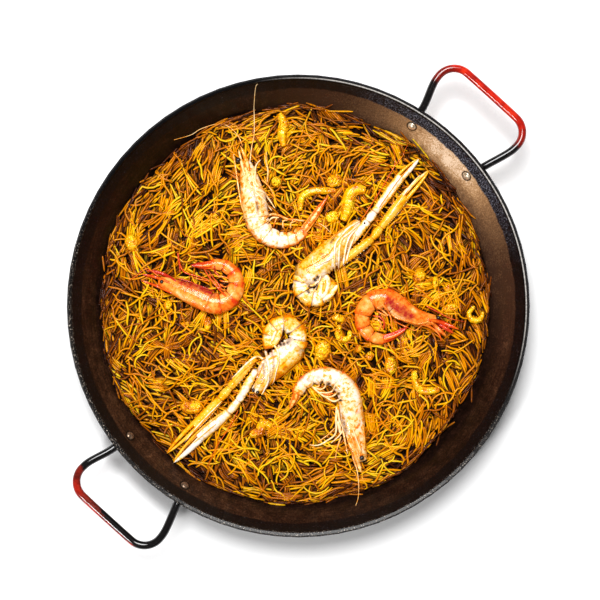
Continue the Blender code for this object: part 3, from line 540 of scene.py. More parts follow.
class Joined:
    """Collects tubes and other pieces of one mesh, with a material number and values."""

    def __init__(self):
        self.points, self.quads, self.tris = [], [], []
        self.quad_slots, self.tri_slots = [], []
        self.values = {layer: [] for layer in LAYERS}
        self.count = 0

    def add(self, points, quads, tris, slot, values):
        points = np.asarray(points, float).reshape(-1, 3)
        self.points.append(points)
        self.quads.append(np.asarray(quads, int).reshape(-1, 4) + self.count)
        self.tris.append(np.asarray(tris, int).reshape(-1, 3) + self.count)
        self.quad_slots.append(np.full(len(self.quads[-1]), slot))
        self.tri_slots.append(np.full(len(self.tris[-1]), slot))
        for layer in LAYERS:
            value = np.asarray(values.get(layer, 0.0), float).ravel()
            self.values[layer].append(np.broadcast_to(value, (len(points),)))
        self.count += len(points)

    def faces(self):
        return np.concatenate(self.quads).tolist() + np.concatenate(self.tris).tolist()

    def tree(self):
        return BVHTree.FromPolygons(np.concatenate(self.points).tolist(), self.faces())

    def finish(self, name, materials, stands_for=()):
        """Makes the object and parents it to the root body's empty."""
        mesh = bpy.data.meshes.new(name)
        mesh.from_pydata(np.concatenate(self.points).tolist(), [], self.faces())
        slots = np.concatenate(self.quad_slots + self.tri_slots).astype(np.int32)
        mesh.polygons.foreach_set("material_index", slots)
        for layer in LAYERS:
            attribute = mesh.attributes.new(layer, "FLOAT", "POINT")
            values = np.concatenate(self.values[layer]).astype(np.float32)
            attribute.data.foreach_set("value", values)
        work = bmesh.new()
        work.from_mesh(mesh)
        bmesh.ops.recalc_face_normals(work, faces=work.faces)
        work.to_mesh(mesh)
        work.free()
        for material in materials:
            mesh.materials.append(material)
        mesh.shade_smooth()
        place_piece(name, mesh, stands_for)


def place_piece(name, mesh, stands_for=()):
    piece = bpy.data.objects.new(name, mesh)
    bpy.context.scene.collection.objects.link(piece)
    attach(piece, "root")
    if stands_for:
        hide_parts(*stands_for)


def solids_tree(nodes):
    """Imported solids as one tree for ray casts."""
    points, faces = [], []
    for node in nodes:
        first = len(points)
        points += [vertex.co.copy() for vertex in node.data.vertices]
        faces += [[first + k for k in face.vertices] for face in node.data.polygons]
    return BVHTree.FromPolygons(points, faces)


def ring_quads(steps, sides):
    """Faces between rings of points, step by step."""
    i = np.arange(steps)[:, None] * sides
    j = np.arange(sides)[None, :]
    k = (j + 1) % sides
    return np.stack([i + j, i + sides + j, i + sides + k, i + k], axis=-1).reshape(-1, 4)


def add_tubes(joined, paths, wide, high, sides, slot=0, power=1.0, turn=0.0, **values):
    """Closed tubes along n paths of p points: paths is (n, p, 3).

    wide and high are half the section across and upwards, broadcast to (n, p, sides).
    A power above 1 makes the section a diamond, below 1 a box. turn is the angle of the
    section's first corner.
    """
    paths = np.asarray(paths, float)
    if paths.ndim == 2:
        paths = paths[None]
    count, stations = paths.shape[:2]
    along = unit(np.gradient(paths, axis=1))
    across = unit(np.cross(along, (0.0, 0.0, 1.0)))
    lift = np.cross(across, along)
    angle = turns(sides) + turn
    cosine = np.sign(np.cos(angle)) * np.abs(np.cos(angle)) ** power
    sine = np.sign(np.sin(angle)) * np.abs(np.sin(angle)) ** power
    shape = (count, stations, sides)
    x = np.broadcast_to(wide, shape) * cosine
    y = np.broadcast_to(high, shape) * sine
    rings = paths[:, :, None] + x[..., None] * across[:, :, None] + y[..., None] * lift[:, :, None]
    ends = np.stack([rings[:, 0].mean(1), rings[:, -1].mean(1)], axis=1)
    reach = 0.5 * np.abs(y[:, (0, -1)]).max(-1)[..., None] * along[:, (0, -1)]
    ends += reach * np.array((-1.0, 1.0))[None, :, None]
    points = np.concatenate([rings.reshape(count, -1, 3), ends], axis=1)

    quads = ring_quads(stations - 1, sides)
    first, last = stations * sides, stations * sides + 1
    tail = (stations - 1) * sides
    j = np.arange(sides)
    k = (j + 1) % sides
    start_fan = np.stack([np.full(sides, first), j, k], axis=-1)
    end_fan = np.stack([np.full(sides, last), tail + k, tail + j], axis=-1)
    tris = np.concatenate([start_fan, end_fan])
    shift = (np.arange(count) * points.shape[1])[:, None, None]
    spread = {}
    for layer, value in values.items():
        grid = np.broadcast_to(value, shape).reshape(count, -1)
        ends = np.stack([grid[:, :sides].mean(1), grid[:, -sides:].mean(1)], axis=1)
        spread[layer] = np.concatenate([grid, ends], axis=1)
    joined.add(points, quads[None] + shift, tris[None] + shift, slot, spread)
    return rings


# The sides of thin parts are painted more golden and darker than their tops, as painted shade along the
# outline.
EDGE_WARM = 0.48  # how much more golden the sides of a thin part are than its top
EDGE_SHADE = 0.20  # and how much darker

# Outlines of thin parts: half width along the length, and height over width.
OUTLINES = {
    "leg": ((0, 0.25, 0.6, 1), (0.9, 1.0, 0.75, 0.35), 0.9),
    "leaf": ((0, 0.2, 0.55, 0.85, 1), (0.5, 0.85, 1.0, 0.72, 0.1), 0.42),
    "bar": ((0, 0.12, 0.88, 1), (0.6, 1.0, 1.0, 0.5), 0.85),
    "oval": ((0, 0.1, 0.3, 0.5, 0.7, 0.9, 1), (0.25, 0.66, 0.95, 1.0, 0.93, 0.6, 0.15), 1.0),
    "hair": ((0, 1), (1.0, 0.45), 1.0),
}


def sideways(sides):
    """How much each corner of a section faces sideways, from 0 to 1."""
    return np.abs(np.cos(turns(sides)))[None, None, :]


def add_outline(joined, path, outline, wide, slot, sides=8, thick=None, **values):
    """A thin part of a named outline along the path."""
    shares, widths, height = OUTLINES[outline]
    size = np.interp(np.linspace(0, 1, len(path)), shares, widths)[None, :, None] * wide
    # Painted shade: the sides go more golden and darker than the top.
    edge = sideways(sides) ** 2
    values["warm"] = values["warm"] + EDGE_WARM * edge
    values["shade"] = EDGE_SHADE * edge**2
    add_tubes(joined, path, size, size * (thick or height), sides, slot, **values)


def add_ball(joined, middle, radius, slot, rings=9, sides=14, **values):
    t = np.linspace(0.12, math.pi - 0.12, rings)
    path = np.array(middle) + np.column_stack([np.cos(t), 0 * t, 0 * t]) * radius
    size = (np.sin(t) * radius)[None, :, None]
    add_tubes(joined, path, size, size, sides, slot, **values)


# ---------------------------------------------------------------- materials


def srgb(colour):
    """An 8-bit display colour as the linear one that Blender takes."""
    linear = [(c / 255 / 12.92) if c <= 10 else ((c / 255 + 0.055) / 1.055) ** 2.4 for c in colour]
    return (*linear, 1.0)


class Shader:
    """A node material under construction, with short ways to add nodes."""

    def __init__(self, name, roughness=0.5, metallic=0.0, specular=0.5, coat=(0.0, 0.03)):
        """coat is the weight and the roughness of a clear layer on top."""
        self.material = bpy.data.materials.new(name)
        self.material.use_nodes = True
        self.tree = self.material.node_tree
        self.surface = self.tree.nodes["Principled BSDF"]
        self.surface.inputs["Roughness"].default_value = roughness
        self.surface.inputs["Metallic"].default_value = metallic
        self.surface.inputs["Specular IOR Level"].default_value = specular
        self.surface.inputs["Coat Weight"].default_value = coat[0]
        self.surface.inputs["Coat Roughness"].default_value = coat[1]
        self.place = self.add("ShaderNodeTexCoord").outputs["Object"]

    def add(self, kind, **settings):
        node = self.tree.nodes.new(kind)
        for name, value in settings.items():
            setattr(node, name, value)
        return node

    def put(self, value, target):
        """Links an output, or sets a plain value."""
        if isinstance(value, bpy.types.NodeSocket):
            self.tree.links.new(value, target)
        else:
            target.default_value = value

    def noise(self, scale, detail=4.0, roughness=0.6, stretch=None):
        where = self.place
        if stretch:
            mapping = self.add("ShaderNodeMapping")
            mapping.inputs["Scale"].default_value = stretch
            self.put(where, mapping.inputs["Vector"])
            where = mapping.outputs["Vector"]
        node = self.add("ShaderNodeTexNoise")
        node.inputs["Scale"].default_value = scale
        node.inputs["Detail"].default_value = detail
        node.inputs["Roughness"].default_value = roughness
        self.put(where, node.inputs["Vector"])
        return node.outputs["Fac"]

    def parts(self):
        """The separate X, Y and Z of each place."""
        split = self.add("ShaderNodeSeparateXYZ")
        self.put(self.place, split.inputs["Vector"])
        return tuple(split.outputs)

    def layer(self, name):
        return self.add("ShaderNodeAttribute", attribute_name=name).outputs["Fac"]

    def math(self, operation, first, second=0.0, third=None, clamp=False):
        node = self.add("ShaderNodeMath", operation=operation, use_clamp=clamp)
        self.put(first, node.inputs[0])
        self.put(second, node.inputs[1])
        if third is not None:
            self.put(third, node.inputs[2])
        return node.outputs[0]

    def times(self, first, second):
        return self.math("MULTIPLY", first, second)

    def plus(self, value, first, second):
        """The value plus the product of the two others."""
        return self.math("MULTIPLY_ADD", first, second, value)

    def stirred(self, value, grain, amount, clamp=False):
        """The value, moved up and down by a noise."""
        return self.math("MULTIPLY_ADD", self.math("SUBTRACT", grain, 0.5), amount, value, clamp)

    def ranged(self, value, low, high, start=0.0, end=1.0):
        node = self.add("ShaderNodeMapRange", interpolation_type="SMOOTHSTEP")
        self.put(value, node.inputs["Value"])
        node.inputs["From Min"].default_value = low
        node.inputs["From Max"].default_value = high
        node.inputs["To Min"].default_value = start
        node.inputs["To Max"].default_value = end
        return node.outputs["Result"]

    def ramp(self, value, stops):
        node = self.add("ShaderNodeValToRGB")
        elements = node.color_ramp.elements
        while len(elements) < len(stops):
            elements.new(0.5)
        for element, (position, colour) in zip(elements, stops):
            element.position = position
            element.color = srgb(colour)
        self.put(value, node.inputs["Fac"])
        return node.outputs["Color"]

    def mix(self, share, first, second):
        node = self.add("ShaderNodeMix", data_type="RGBA")
        self.put(share, node.inputs["Factor"])
        for value, target in ((first, node.inputs[6]), (second, node.inputs[7])):
            self.put(srgb(value) if isinstance(value, tuple) else value, target)
        return node.outputs[2]

    def near(self, middle, inner, outer):
        """1 within inner of a place, 0 beyond outer."""
        node = self.add("ShaderNodeVectorMath", operation="DISTANCE")
        self.put(self.place, node.inputs[0])
        node.inputs[1].default_value = middle
        return self.ranged(node.outputs["Value"], inner, outer, 1.0, 0.0)

    def bump(self, height, strength, distance=0.001, after=None):
        node = self.add("ShaderNodeBump")
        node.inputs["Strength"].default_value = strength
        node.inputs["Distance"].default_value = distance
        self.put(height, node.inputs["Height"])
        if after:
            self.put(after, node.inputs["Normal"])
        return node.outputs["Normal"]

    def done(self, colour, normal=None, roughness=None):
        self.put(colour, self.surface.inputs["Base Color"])
        if normal:
            self.put(normal, self.surface.inputs["Normal"])
        if roughness is not None:
            self.put(roughness, self.surface.inputs["Roughness"])
        return self.material


def noodle_material(name, dark, middle, light):
    """Toasted pasta: how golden each noodle is, how burnt, and how dark with painted shade where it lies
    deep or turns its sides down.
    """
    shader = Shader(name, specular=0.12)
    fine = shader.noise(420, 3)
    broad = shader.noise(60, 2)
    tone = shader.plus(shader.layer("warm"), fine, 0.55)
    tone = shader.plus(tone, broad, 0.35)
    tone = shader.math("SUBTRACT", tone, 0.45, clamp=True)
    colour = shader.ramp(tone, ((0.05, dark), (0.45, middle), (0.95, light)))
    burnt = shader.times(shader.layer("blush"), shader.ranged(fine, 0.30, 0.62))
    colour = shader.mix(burnt, colour, (40, 17, 7))
    # The shade layer is painted shade: darker where a noodle lies deep, and on its sides.
    colour = shader.mix(shader.layer("shade"), colour, (24, 8, 2))
    dull = shader.math("MAXIMUM", burnt, shader.layer("shade"))
    roughness = shader.ranged(dull, 0.25, 0.90, 0.21, 0.80)
    return shader.done(colour, shader.bump(fine, 0.25, 0.0004), roughness)


def broken_up(shader, layer, grain, amount, least, most):
    """A layer's amount, made patchy by a noise, and 0 where the layer is below the least."""
    patchy = shader.stirred(shader.layer(layer), grain, amount, clamp=True)
    return shader.times(patchy, shader.ranged(shader.layer(layer), least, most))


def shell_material(name, palette, speckle, scale, roughness=0.30):
    """Cooked shell, from pale over golden to deep orange, with speckles, and painted shade in creases, seams
    and holes.
    """
    shader = Shader(name, roughness, specular=0.22, coat=(0.32, 0.08))
    spots = shader.noise(scale, 2.5, 0.62)
    cloud = shader.noise(scale * 0.28, 3, 0.6)
    grain = shader.noise(scale * 2.6, 3, 0.7)
    spotted = shader.ranged(spots, 0.46, 0.66, -0.35 * speckle, speckle)
    tone = shader.math("ADD", shader.layer("warm"), spotted)
    tone = shader.stirred(tone, cloud, 1.4)
    tone = shader.plus(tone, grain, 0.35)
    tone = shader.math("SUBTRACT", tone, 0.20, clamp=True)
    pale, light, warm, deep, blush, crease = palette
    colour = shader.ramp(tone, ((0.0, pale), (0.30, light), (0.70, warm), (1.0, deep)))
    colour = shader.mix(broken_up(shader, "blush", spots, 1.5, 0.04, 0.35), colour, blush)
    # The shade layer, made patchy, paints shade into creases, seams and holes, darkest in the deepest.
    dark = broken_up(shader, "shade", grain, 1.2, 0.02, 0.30)
    deepest = tuple(0.42 * channel for channel in crease)
    shade_colour = shader.ramp(dark, ((0.15, warm), (0.50, crease), (0.90, deepest)))
    colour = shader.mix(dark, colour, shade_colour)
    normal = shader.bump(grain, 0.12, 0.0005, shader.bump(cloud, 0.7, 0.003))
    return shader.done(colour, normal)


def eye_material():
    shader = Shader("shellfish_eye", 0.30, coat=(0.2, 0.10))
    return shader.done(shader.ramp(shader.noise(900, 2), ((0.3, (12, 9, 12)), (0.8, (60, 40, 32)))))


def squid_material():
    shader = Shader("cuttlefish", 0.30, specular=0.30, coat=(0.25, 0.08))
    cloud = shader.noise(95, 3)
    grain = shader.noise(380, 3, 0.7)
    tone = shader.plus(cloud, grain, 0.18)
    stops = ((0.42, (196, 100, 0)), (0.52, (242, 148, 0)), (0.62, (255, 184, 0)), (0.76, (255, 212, 30)))
    normal = shader.bump(grain, 0.03, 0.0005, shader.bump(cloud, 0.4, 0.002))
    return shader.done(shader.ramp(tone, stops), normal)


def core_material():
    """What shows between the noodles: a dark, sticky crust of stock."""
    shader = Shader("noodle_crust", 0.90, specular=0.05)
    grain = shader.noise(240, 5, 0.7)
    stops = ((0.36, (8, 3, 2)), (0.55, (30, 13, 4)), (0.72, (88, 42, 4)))
    return shader.done(shader.ramp(grain, stops), shader.bump(grain, 0.4, 0.002))


class PanSteel(Shader):
    """Seasoned sheet steel: brown below, blue-black above, with a pale patch of painted light on the wall at
    +X.
    """

    def __init__(self):
        super().__init__("pan_steel", specular=0.05, coat=(0.22, 0.14))
        self.x, self.y, self.z = self.parts()
        self.broad = self.noise(16, 5, 0.65)
        self.middle = self.noise(90, 6, 0.72)
        self.speckle = self.noise(620, 3, 0.75)
        self.rings = self.noise(900, 2, 0.6, (0.03, 0.03, 1.0))
        self.chips = self.noise(760, 2, 0.6)
        self.turned = self.math("ARCTAN2", self.y, self.x)
        off = self.math("ABSOLUTE", self.math("ADD", self.turned, 0.06))
        self.off_patch = self.stirred(off, self.middle, 0.45)

    def brown(self):
        """Lighter towards the two handles and darker towards +Y, painted light and shade on the wall; also
        darker low on the wall and lighter higher up.
        """
        # Painted light and shade: lighter towards the two handles, darker towards +Y.
        thin = self.math("COSINE", self.math("MULTIPLY_ADD", self.turned, 2.0, math.radians(20)))
        thick = self.math("COSINE", self.math("SUBTRACT", self.turned, math.radians(102)))
        light = self.math("MULTIPLY_ADD", self.middle, 0.6, 0.18)
        light = self.plus(light, thin, 0.085)
        light = self.plus(light, thick, -0.040)
        light = self.math("ADD", light, self.ranged(self.z, 0.014, 0.025, -0.07, 0.03))
        light = self.stirred(light, self.rings, 0.22)
        light = self.stirred(light, self.speckle, 0.60)
        darker = ((0.30, (11, 5, 3)), (0.46, (27, 13, 8)), (0.58, (48, 28, 18)))
        return self.ramp(light, (*darker, (0.72, (78, 50, 33)), (0.9, (136, 99, 73))))

    def lit_patch(self, colour):
        """Painted light: a pale, lit patch on the wall at +X, palest in its middle, tan round it, with a
        ragged outline.
        """
        low = self.stirred(self.z, self.middle, 0.008)
        lit_patch = self.ranged(self.off_patch, 1.15, 0.35)
        lit_patch = self.times(lit_patch, self.ranged(low, 0.0040, 0.0160, 0.55, 1.0))
        lit_middle = self.ranged(self.off_patch, 0.72, -0.05)
        lit_middle = self.times(lit_middle, self.ranged(low, 0.010, 0.026, 0.50, 1.0))
        lit_middle = self.stirred(lit_middle, self.speckle, 0.90)
        lit_middle = self.stirred(lit_middle, self.middle, 1.00)
        tans = ((0.06, (62, 40, 28)), (0.40, (106, 76, 52)), (0.66, (150, 112, 76)))
        pale = ((0.85, (198, 156, 112)), (1.0, (244, 214, 182)))
        return self.mix(lit_patch, colour, self.ramp(lit_middle, tans + pale))

    def painted_rivet_shade(self, colour):
        """Painted shade: a dark ring round each rivet head."""
        for side, turn in RIVETS.values():
            ring = self.near(tuple(on_wall(side, turn)), RIVET_HEAD + 0.0007, RIVET_HEAD + 0.0020)
            colour = self.mix(self.times(ring, 0.92), colour, (10, 6, 5))
        return colour

    def banded(self, colour):
        """The blue-black band below the rim, whose lower border is ragged."""
        border = self.stirred(self.z, self.middle, 0.0050)
        border = self.stirred(border, self.broad, 0.0040)
        stops = ((0.40, (5, 3, 4)), (0.60, (16, 10, 11)), (0.70, (36, 32, 37)), (0.80, (120, 112, 108)))
        grains = ((0.38, (4, 4, 6)), (0.50, (34, 34, 42)), (0.60, (84, 86, 98)), (0.70, (150, 150, 160)))
        # Towards the patch of painted light the band takes greyer grains.
        lit_patch = self.ranged(self.off_patch, 0.62, 0.15, 0.0, 0.90)
        scale = self.mix(lit_patch, self.ramp(self.speckle, stops), self.ramp(self.chips, grains))
        return self.mix(self.ranged(border, *BAND_FROM), colour, scale)

    def rimmed(self, colour):
        """The black rolled rim, chipped towards -X: bright grains of steel showing through."""
        stops = ((0.45, (4, 3, 3)), (0.56, (20, 16, 14)), (0.63, (88, 76, 68)), (0.71, (206, 196, 182)))
        chipped = self.math("COSINE", self.math("ADD", self.turned, math.radians(163)))
        rim = self.mix(self.ranged(chipped, -0.20, 0.35), (7, 6, 7), self.ramp(self.chips, stops))
        return self.mix(self.ranged(self.z, *RIM_FROM), colour, rim)

    def painted_rim_highlight(self, colour):
        """A painted highlight: the bright line along the rim's inner edge, towards +X."""
        reach = self.math("SQRT", self.plus(self.times(self.y, self.y), self.x, self.x))
        off = self.math("ABSOLUTE", self.math("SUBTRACT", reach, RIM_HIGHLIGHT_LINE))
        towards = self.math("COSINE", self.math("ADD", self.turned, 0.15))
        line = self.times(self.ranged(off, 0.0008, 0.0003), self.ranged(towards, 0.45, 0.85))
        line = self.times(line, self.ranged(self.speckle, 0.30, 0.60, 0.3, 1.0))
        return self.mix(line, colour, (190, 184, 178))


def pan_material():
    steel = PanSteel()
    colour = steel.brown()
    for change in (steel.lit_patch, steel.painted_rivet_shade, steel.banded, steel.rimmed, steel.painted_rim_highlight):
        colour = change(colour)
    normal = steel.bump(steel.broad, 0.25, 0.004)
    normal = steel.bump(steel.rings, 0.20, 0.0006, normal)
    normal = steel.bump(steel.speckle, 0.30, 0.0005, normal)
    return steel.done(colour, normal, steel.ranged(steel.speckle, 0.35, 0.7, 0.30, 0.52))


def paint_material(name, front):
    """Red enamel on the bar, burnt and wearing down to dark steel towards the legs."""
    shader = Shader(name, 0.30, specular=0.02, coat=(1.0, 0.08))
    x, y, _ = shader.parts()
    wear = shader.noise(60, 5, 0.7)
    fine = shader.noise(420, 3, 0.7)
    out = shader.math("ABSOLUTE", x)
    ragged = shader.stirred(out, wear, 0.014)
    red = shader.ramp(wear, ((0.35, (126, 10, 2)), (0.52, (196, 26, 4)), (0.70, (232, 62, 16))))
    red = shader.mix(shader.ranged(ragged, 0.270, 0.284, 0.75, 0.0), red, (84, 12, 3))
    if front:
        side = shader.ranged(y, -0.03, 0.03, -0.0035, 0.0040)
        paint = shader.ranged(shader.math("ADD", ragged, side), 0.2570, 0.2650)
    else:
        # The paint is whole at +Y and wears off towards -Y, last on the bar's outer side.
        share = shader.math("DIVIDE", shader.math("ADD", y, 0.045), 0.09, clamp=True)
        reach = shader.times(shader.math("POWER", share, 2.6), 0.024)
        paint = shader.ranged(shader.math("ADD", ragged, reach), 0.2862, 0.2895)
        inner = shader.ranged(out, 0.2856, 0.2878, 1.0, 0.0)
        inner = shader.times(inner, shader.ranged(y, 0.044, 0.018, 0.35, 0.90))
        burnt = shader.ramp(fine, ((0.42, (34, 12, 10)), (0.64, (120, 46, 32))))
        red = shader.mix(inner, red, burnt)
    steel = shader.ramp(fine, ((0.40, (5, 4, 4)), (0.62, (14, 11, 11)), (0.76, (74, 64, 60))))
    colour = shader.mix(paint, steel, red)
    return shader.done(colour, shader.bump(wear, 0.1, 0.001, shader.bump(fine, 0.15, 0.0004)))


def rivet_material():
    """Worn steel heads, a lit copy at +X and a shaded, browner copy at -X: painted light and shade."""
    shader = Shader("rivet_steel", 0.26, metallic=0.60)
    x, _, _ = shader.parts()
    wear = shader.noise(500, 4)
    bright = shader.ramp(wear, ((0.32, (176, 150, 120)), (0.60, (250, 232, 204))))
    shaded_heads = shader.ramp(wear, ((0.32, (58, 44, 34)), (0.62, (158, 128, 104))))
    # Painted light and shade: lit heads at +X, shaded ones at -X.
    colour = shader.mix(shader.ranged(x, -0.05, 0.05), shaded_heads, bright)
    return shader.done(colour, shader.bump(wear, 0.2, 0.0004))


# ---------------------------------------------------------------- handles and rivets


def on_wall(side, turn, along=0.0, out=0.0):
    """A place at a rivet, moved up along the wall and out through it."""
    angle = turn + (0 if side > 0 else math.pi)
    radial = np.array((math.cos(angle), math.sin(angle), 0.0))
    lean = math.hypot(WALL_SPREAD, 1.0)
    up = (radial * WALL_SPREAD + (0.0, 0.0, 1.0)) / lean
    outwards = (radial - (0.0, 0.0, WALL_SPREAD)) / lean
    reach = FLOOR_RADIUS + (RIVET_HEIGHT - SHEET) * WALL_SPREAD
    return radial * reach + (0.0, 0.0, RIVET_HEIGHT) + along * up + out * outwards


def leg_route(spread, crossing):
    """The front handle's leg at +Y: up the wall's outside, under the rim and round the bend."""
    root = on_wall(1, RIVET_TURN, 0.0062, SHEET + GAP + ROD_RADIUS)
    under = (root[0] + 0.0050, (root[1] + crossing) / 2, root[2] + 0.0042)
    past = (RIM_RADIUS + 0.004, crossing, root[2] + 0.0064)
    along = (RIM_RADIUS + 0.025, spread - 0.001, BAR_HEIGHT - 0.001)
    route = [tuple(root), under, past, along]
    for i in range(BEND_STEPS + 1):
        angle = math.pi / 2 * (1 - i / BEND_STEPS)
        x = BAR_REACH - BEND_RADIUS + BEND_RADIUS * math.cos(angle)
        y = spread - BEND_RADIUS + BEND_RADIUS * math.sin(angle)
        route.append((x, y, BAR_HEIGHT))
    return np.array(route)


def rod_route(side):
    """The handle's rod, from the plate at +Y round the bar to the plate at -Y."""
    there = leg_route(LEG_SPREAD[0], RIM_CROSSING[0])
    back = leg_route(LEG_SPREAD[1], RIM_CROSSING[1])[::-1] * (1, -1, 1)
    return np.concatenate([there, back]) * (side, 1, 1)


def rounded(points, rounds):
    """The line with its corners cut again and again, so that it bends smoothly."""
    for _ in range(rounds):
        near = 0.75 * points[:-1] + 0.25 * points[1:]
        far = 0.25 * points[:-1] + 0.75 * points[1:]
        cut = np.stack([near, far], axis=1).reshape(-1, 3)
        points = np.concatenate([points[:1], cut, points[-1:]])
    return points


def make_handles():
    """Round rods and their riveted plates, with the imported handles' form."""
    length, width, thickness = PLATE_SIZE
    level = SHEET + GAP + thickness / 2
    taper = np.array((0.85, 1.0, 1.0, 0.85))[None, :, None] / 2
    for name, side in (("handle_front", 1), ("handle_back", -1)):
        joined = Joined()
        add_tubes(joined, rounded(rod_route(side), 3), ROD_RADIUS, ROD_RADIUS, 24)
        for turn in (-RIVET_TURN, RIVET_TURN):
            places = [PLATE_LIFT + share * length for share in (-0.48, -0.44, 0.44, 0.48)]
            path = np.array([on_wall(side, turn, place, level) for place in places])
            add_tubes(joined, path, taper * width, taper * thickness, 32, power=0.3)
        joined.finish(name + "_rod", [paint_material(name + "_paint", side > 0)], (name,))


def make_rivets():
    """A domed head inside the pan, a shank and a lower head on the handle's plate."""
    steel = rivet_material()
    outside = SHEET + 2 * GAP + PLATE_SIZE[2]
    arc = np.linspace(0.12, math.pi / 2, 8)
    profile = [(RIVET_HEAD * math.sin(a), -GAP - 0.0022 * math.cos(a)) for a in arc]
    profile += [(RIVET_SHANK, 0.0), (RIVET_SHANK, outside - GAP)]
    profile += [(0.93 * RIVET_HEAD * math.sin(a), outside + 0.0018 * math.cos(a)) for a in arc[::-1]]
    size = np.array([radius for radius, _ in profile])[None, :, None]
    for name, (side, turn) in RIVETS.items():
        joined = Joined()
        path = np.array([on_wall(side, turn, 0.0, out) for _, out in profile])
        add_tubes(joined, path, size, size, 28)
        joined.finish(name + "_turned", [steel], (name,))


# ---------------------------------------------------------------- the bed of noodles


class Bed:
    """Height map of what lies in the pan, under the undersides of the toppings."""

    def __init__(self, toppings):
        count = round(2 * MAP_HALF / CELL)
        centres = (np.arange(count) + 0.5) * CELL - MAP_HALF
        x, y = np.meshgrid(centres, centres, indexing="ij")
        reach = np.hypot(x, y)
        floor = np.where(reach < CORE_RADIUS, CORE_HEIGHT, SHEET)
        self.height = np.maximum(wall_height(reach), floor)
        self.ceiling = self.undersides(toppings, centres[::COARSE] + 0.5 * CELL)

    def undersides(self, toppings, centres):
        """The map of the toppings' undersides, at 1 m where there is none."""
        tree = solids_tree(toppings)
        up = Vector((0, 0, 1))
        low = np.full((len(centres), len(centres)), 1.0)
        for i, x in enumerate(centres):
            for j, y in enumerate(centres):
                if math.hypot(x, y) < FLOOR_RADIUS + 0.02:
                    below = tree.ray_cast(Vector((x, y, 0)), up)[0]
                    if below:
                        low[i, j] = below.z
        for axis in (0, 1):
            low = np.minimum(low, np.minimum(np.roll(low, 1, axis), np.roll(low, -1, axis)))
        return np.kron(low, np.ones((COARSE, COARSE)))

    def inside(self, i, j):
        last = self.height.shape[0] - 1
        return np.clip(i, 0, last), np.clip(j, 0, last)

    def cells(self, points):
        index = ((points[..., :2] + MAP_HALF) / CELL).astype(int)
        return self.inside(index[..., 0], index[..., 1])

    def covered(self, points):
        return self.ceiling[self.cells(points)] < 0.5

    def under(self, points):
        """Height of the noodles at each point."""
        return self.height[self.cells(points)]

    def about(self, points, radius):
        """The greatest height within a radius of each point."""
        i, j = self.cells(np.asarray(points))
        reach = max(1, round(radius / CELL))
        best = self.height[i, j]
        for di in range(-reach, reach + 1):
            for dj in range(-reach, reach + 1):
                if di * di + dj * dj <= reach * reach:
                    best = np.maximum(best, self.height[self.inside(i + di, j + dj)])
        return best

    def mean_height(self, reach):
        """The map of the mean height within a square round each cell."""
        size = round(reach / CELL)
        soft = np.where(self.height > BED_TOP, CORE_HEIGHT, self.height)
        for axis in (0, 1):
            soft = sum(np.roll(soft, shift, axis) for shift in range(-size, size + 1)) / (2 * size + 1)
        return soft

    def rest(self, flat, radius):
        """Heights of a noodle laid along the flat path."""
        heights = self.about(flat, 0.6 * radius)
        for _ in range(2):
            padded = np.pad(heights, 1, mode="edge")
            soft = 0.25 * padded[:-2] + 0.5 * padded[1:-1] + 0.25 * padded[2:]
            heights = np.maximum(soft, heights - 0.0010)
        heights = np.minimum(heights + radius * (1 - NOODLE_SUNK), BED_TOP - radius)
        heights = np.maximum(heights, wall_height(from_axis(flat)) + 1.6 * radius)
        return np.minimum(heights, self.ceiling[self.cells(flat)] + 0.0004 - radius)

    def pile(self, path, radius):
        """Raises the map by a laid noodle."""
        fine = np.linspace(0, len(path) - 1, 8 * len(path))
        dense = np.column_stack([np.interp(fine, np.arange(len(path)), path[:, k]) for k in range(3)])
        i, j = self.cells(dense)
        reach = int(radius / CELL)
        for di in range(-reach, reach + 1):
            for dj in range(-reach, reach + 1):
                off = math.hypot(di, dj) * CELL
                if off <= radius:
                    level = dense[:, 2] + math.sqrt(radius * radius - off * off) * 0.9
                    np.maximum.at(self.height, self.inside(i + di, j + dj), level)


def noodle_line(place, heading, length, bend, wave=0.0):
    """An arc with a slight wave, in the plane, with its middle at place."""
    t = np.linspace(-0.5, 0.5, NOODLE_POINTS)
    angle = heading + bend * t + wave * np.sin(2 * math.pi * t * 1.3)
    steps = np.stack([np.cos(angle), np.sin(angle)], axis=-1) * length / (NOODLE_POINTS - 1)
    path = np.cumsum(steps, axis=0)
    return path - path.mean(axis=0) + place


def rough(x, y, scale, level):
    """A smooth noise over the plane, between about -1 and 1."""
    return noise.noise(Vector((x * scale, y * scale, level)))


def facing(x, y, degrees):
    """1 on the side of the pan at that angle from +X, and 0 a quarter turn away and beyond."""
    return max(0.0, math.cos(math.atan2(y, x) - math.radians(degrees)))


def swirl(x, y):
    """The way that the noodles lie at a place: round the pan near its edge, in eddies inside."""
    eddy = rough(x, y, 17, 0.3) * 3.6 + rough(x, y, 52, 4.1) * 2.4
    around = math.atan2(y, x) + math.pi / 2
    return around + eddy * (1 - 0.70 * ramped(math.hypot(x, y), *ROUND_EDGE))


def swell(x, y):
    """How much higher or lower than the mean the bed is at a place."""
    return BED_SWELL * rough(x, y, 38, 7.7)


def sparse(x, y):
    """How thinly the noodles lie: 1 at the bare edge between +X and -Y, 0 elsewhere."""
    return facing(x, y, SPARSE_SIDE) * ramped(math.hypot(x, y), *SPARSE_EDGE)


def food_limit(x, y):
    """How far out the noodles reach: less at the side between +X and -Y."""
    angle = math.atan2(y, x)
    ragged = 0.0035 * rough(math.cos(angle), math.sin(angle), 6, 1.7)
    return FOOD_RADIUS - 0.0090 * facing(x, y, DRAWN_IN_SIDE) ** 3 + ragged


def toasted(x, y, reach):
    """How toasted a noodle is that lies at a place and reaches so far out."""
    sides = 0.30 + 0.70 * facing(x, y, TOASTED_SIDES[0]) + 0.35 * facing(x, y, TOASTED_SIDES[1])
    return sides * ramped(reach, *TOASTED_EDGE)


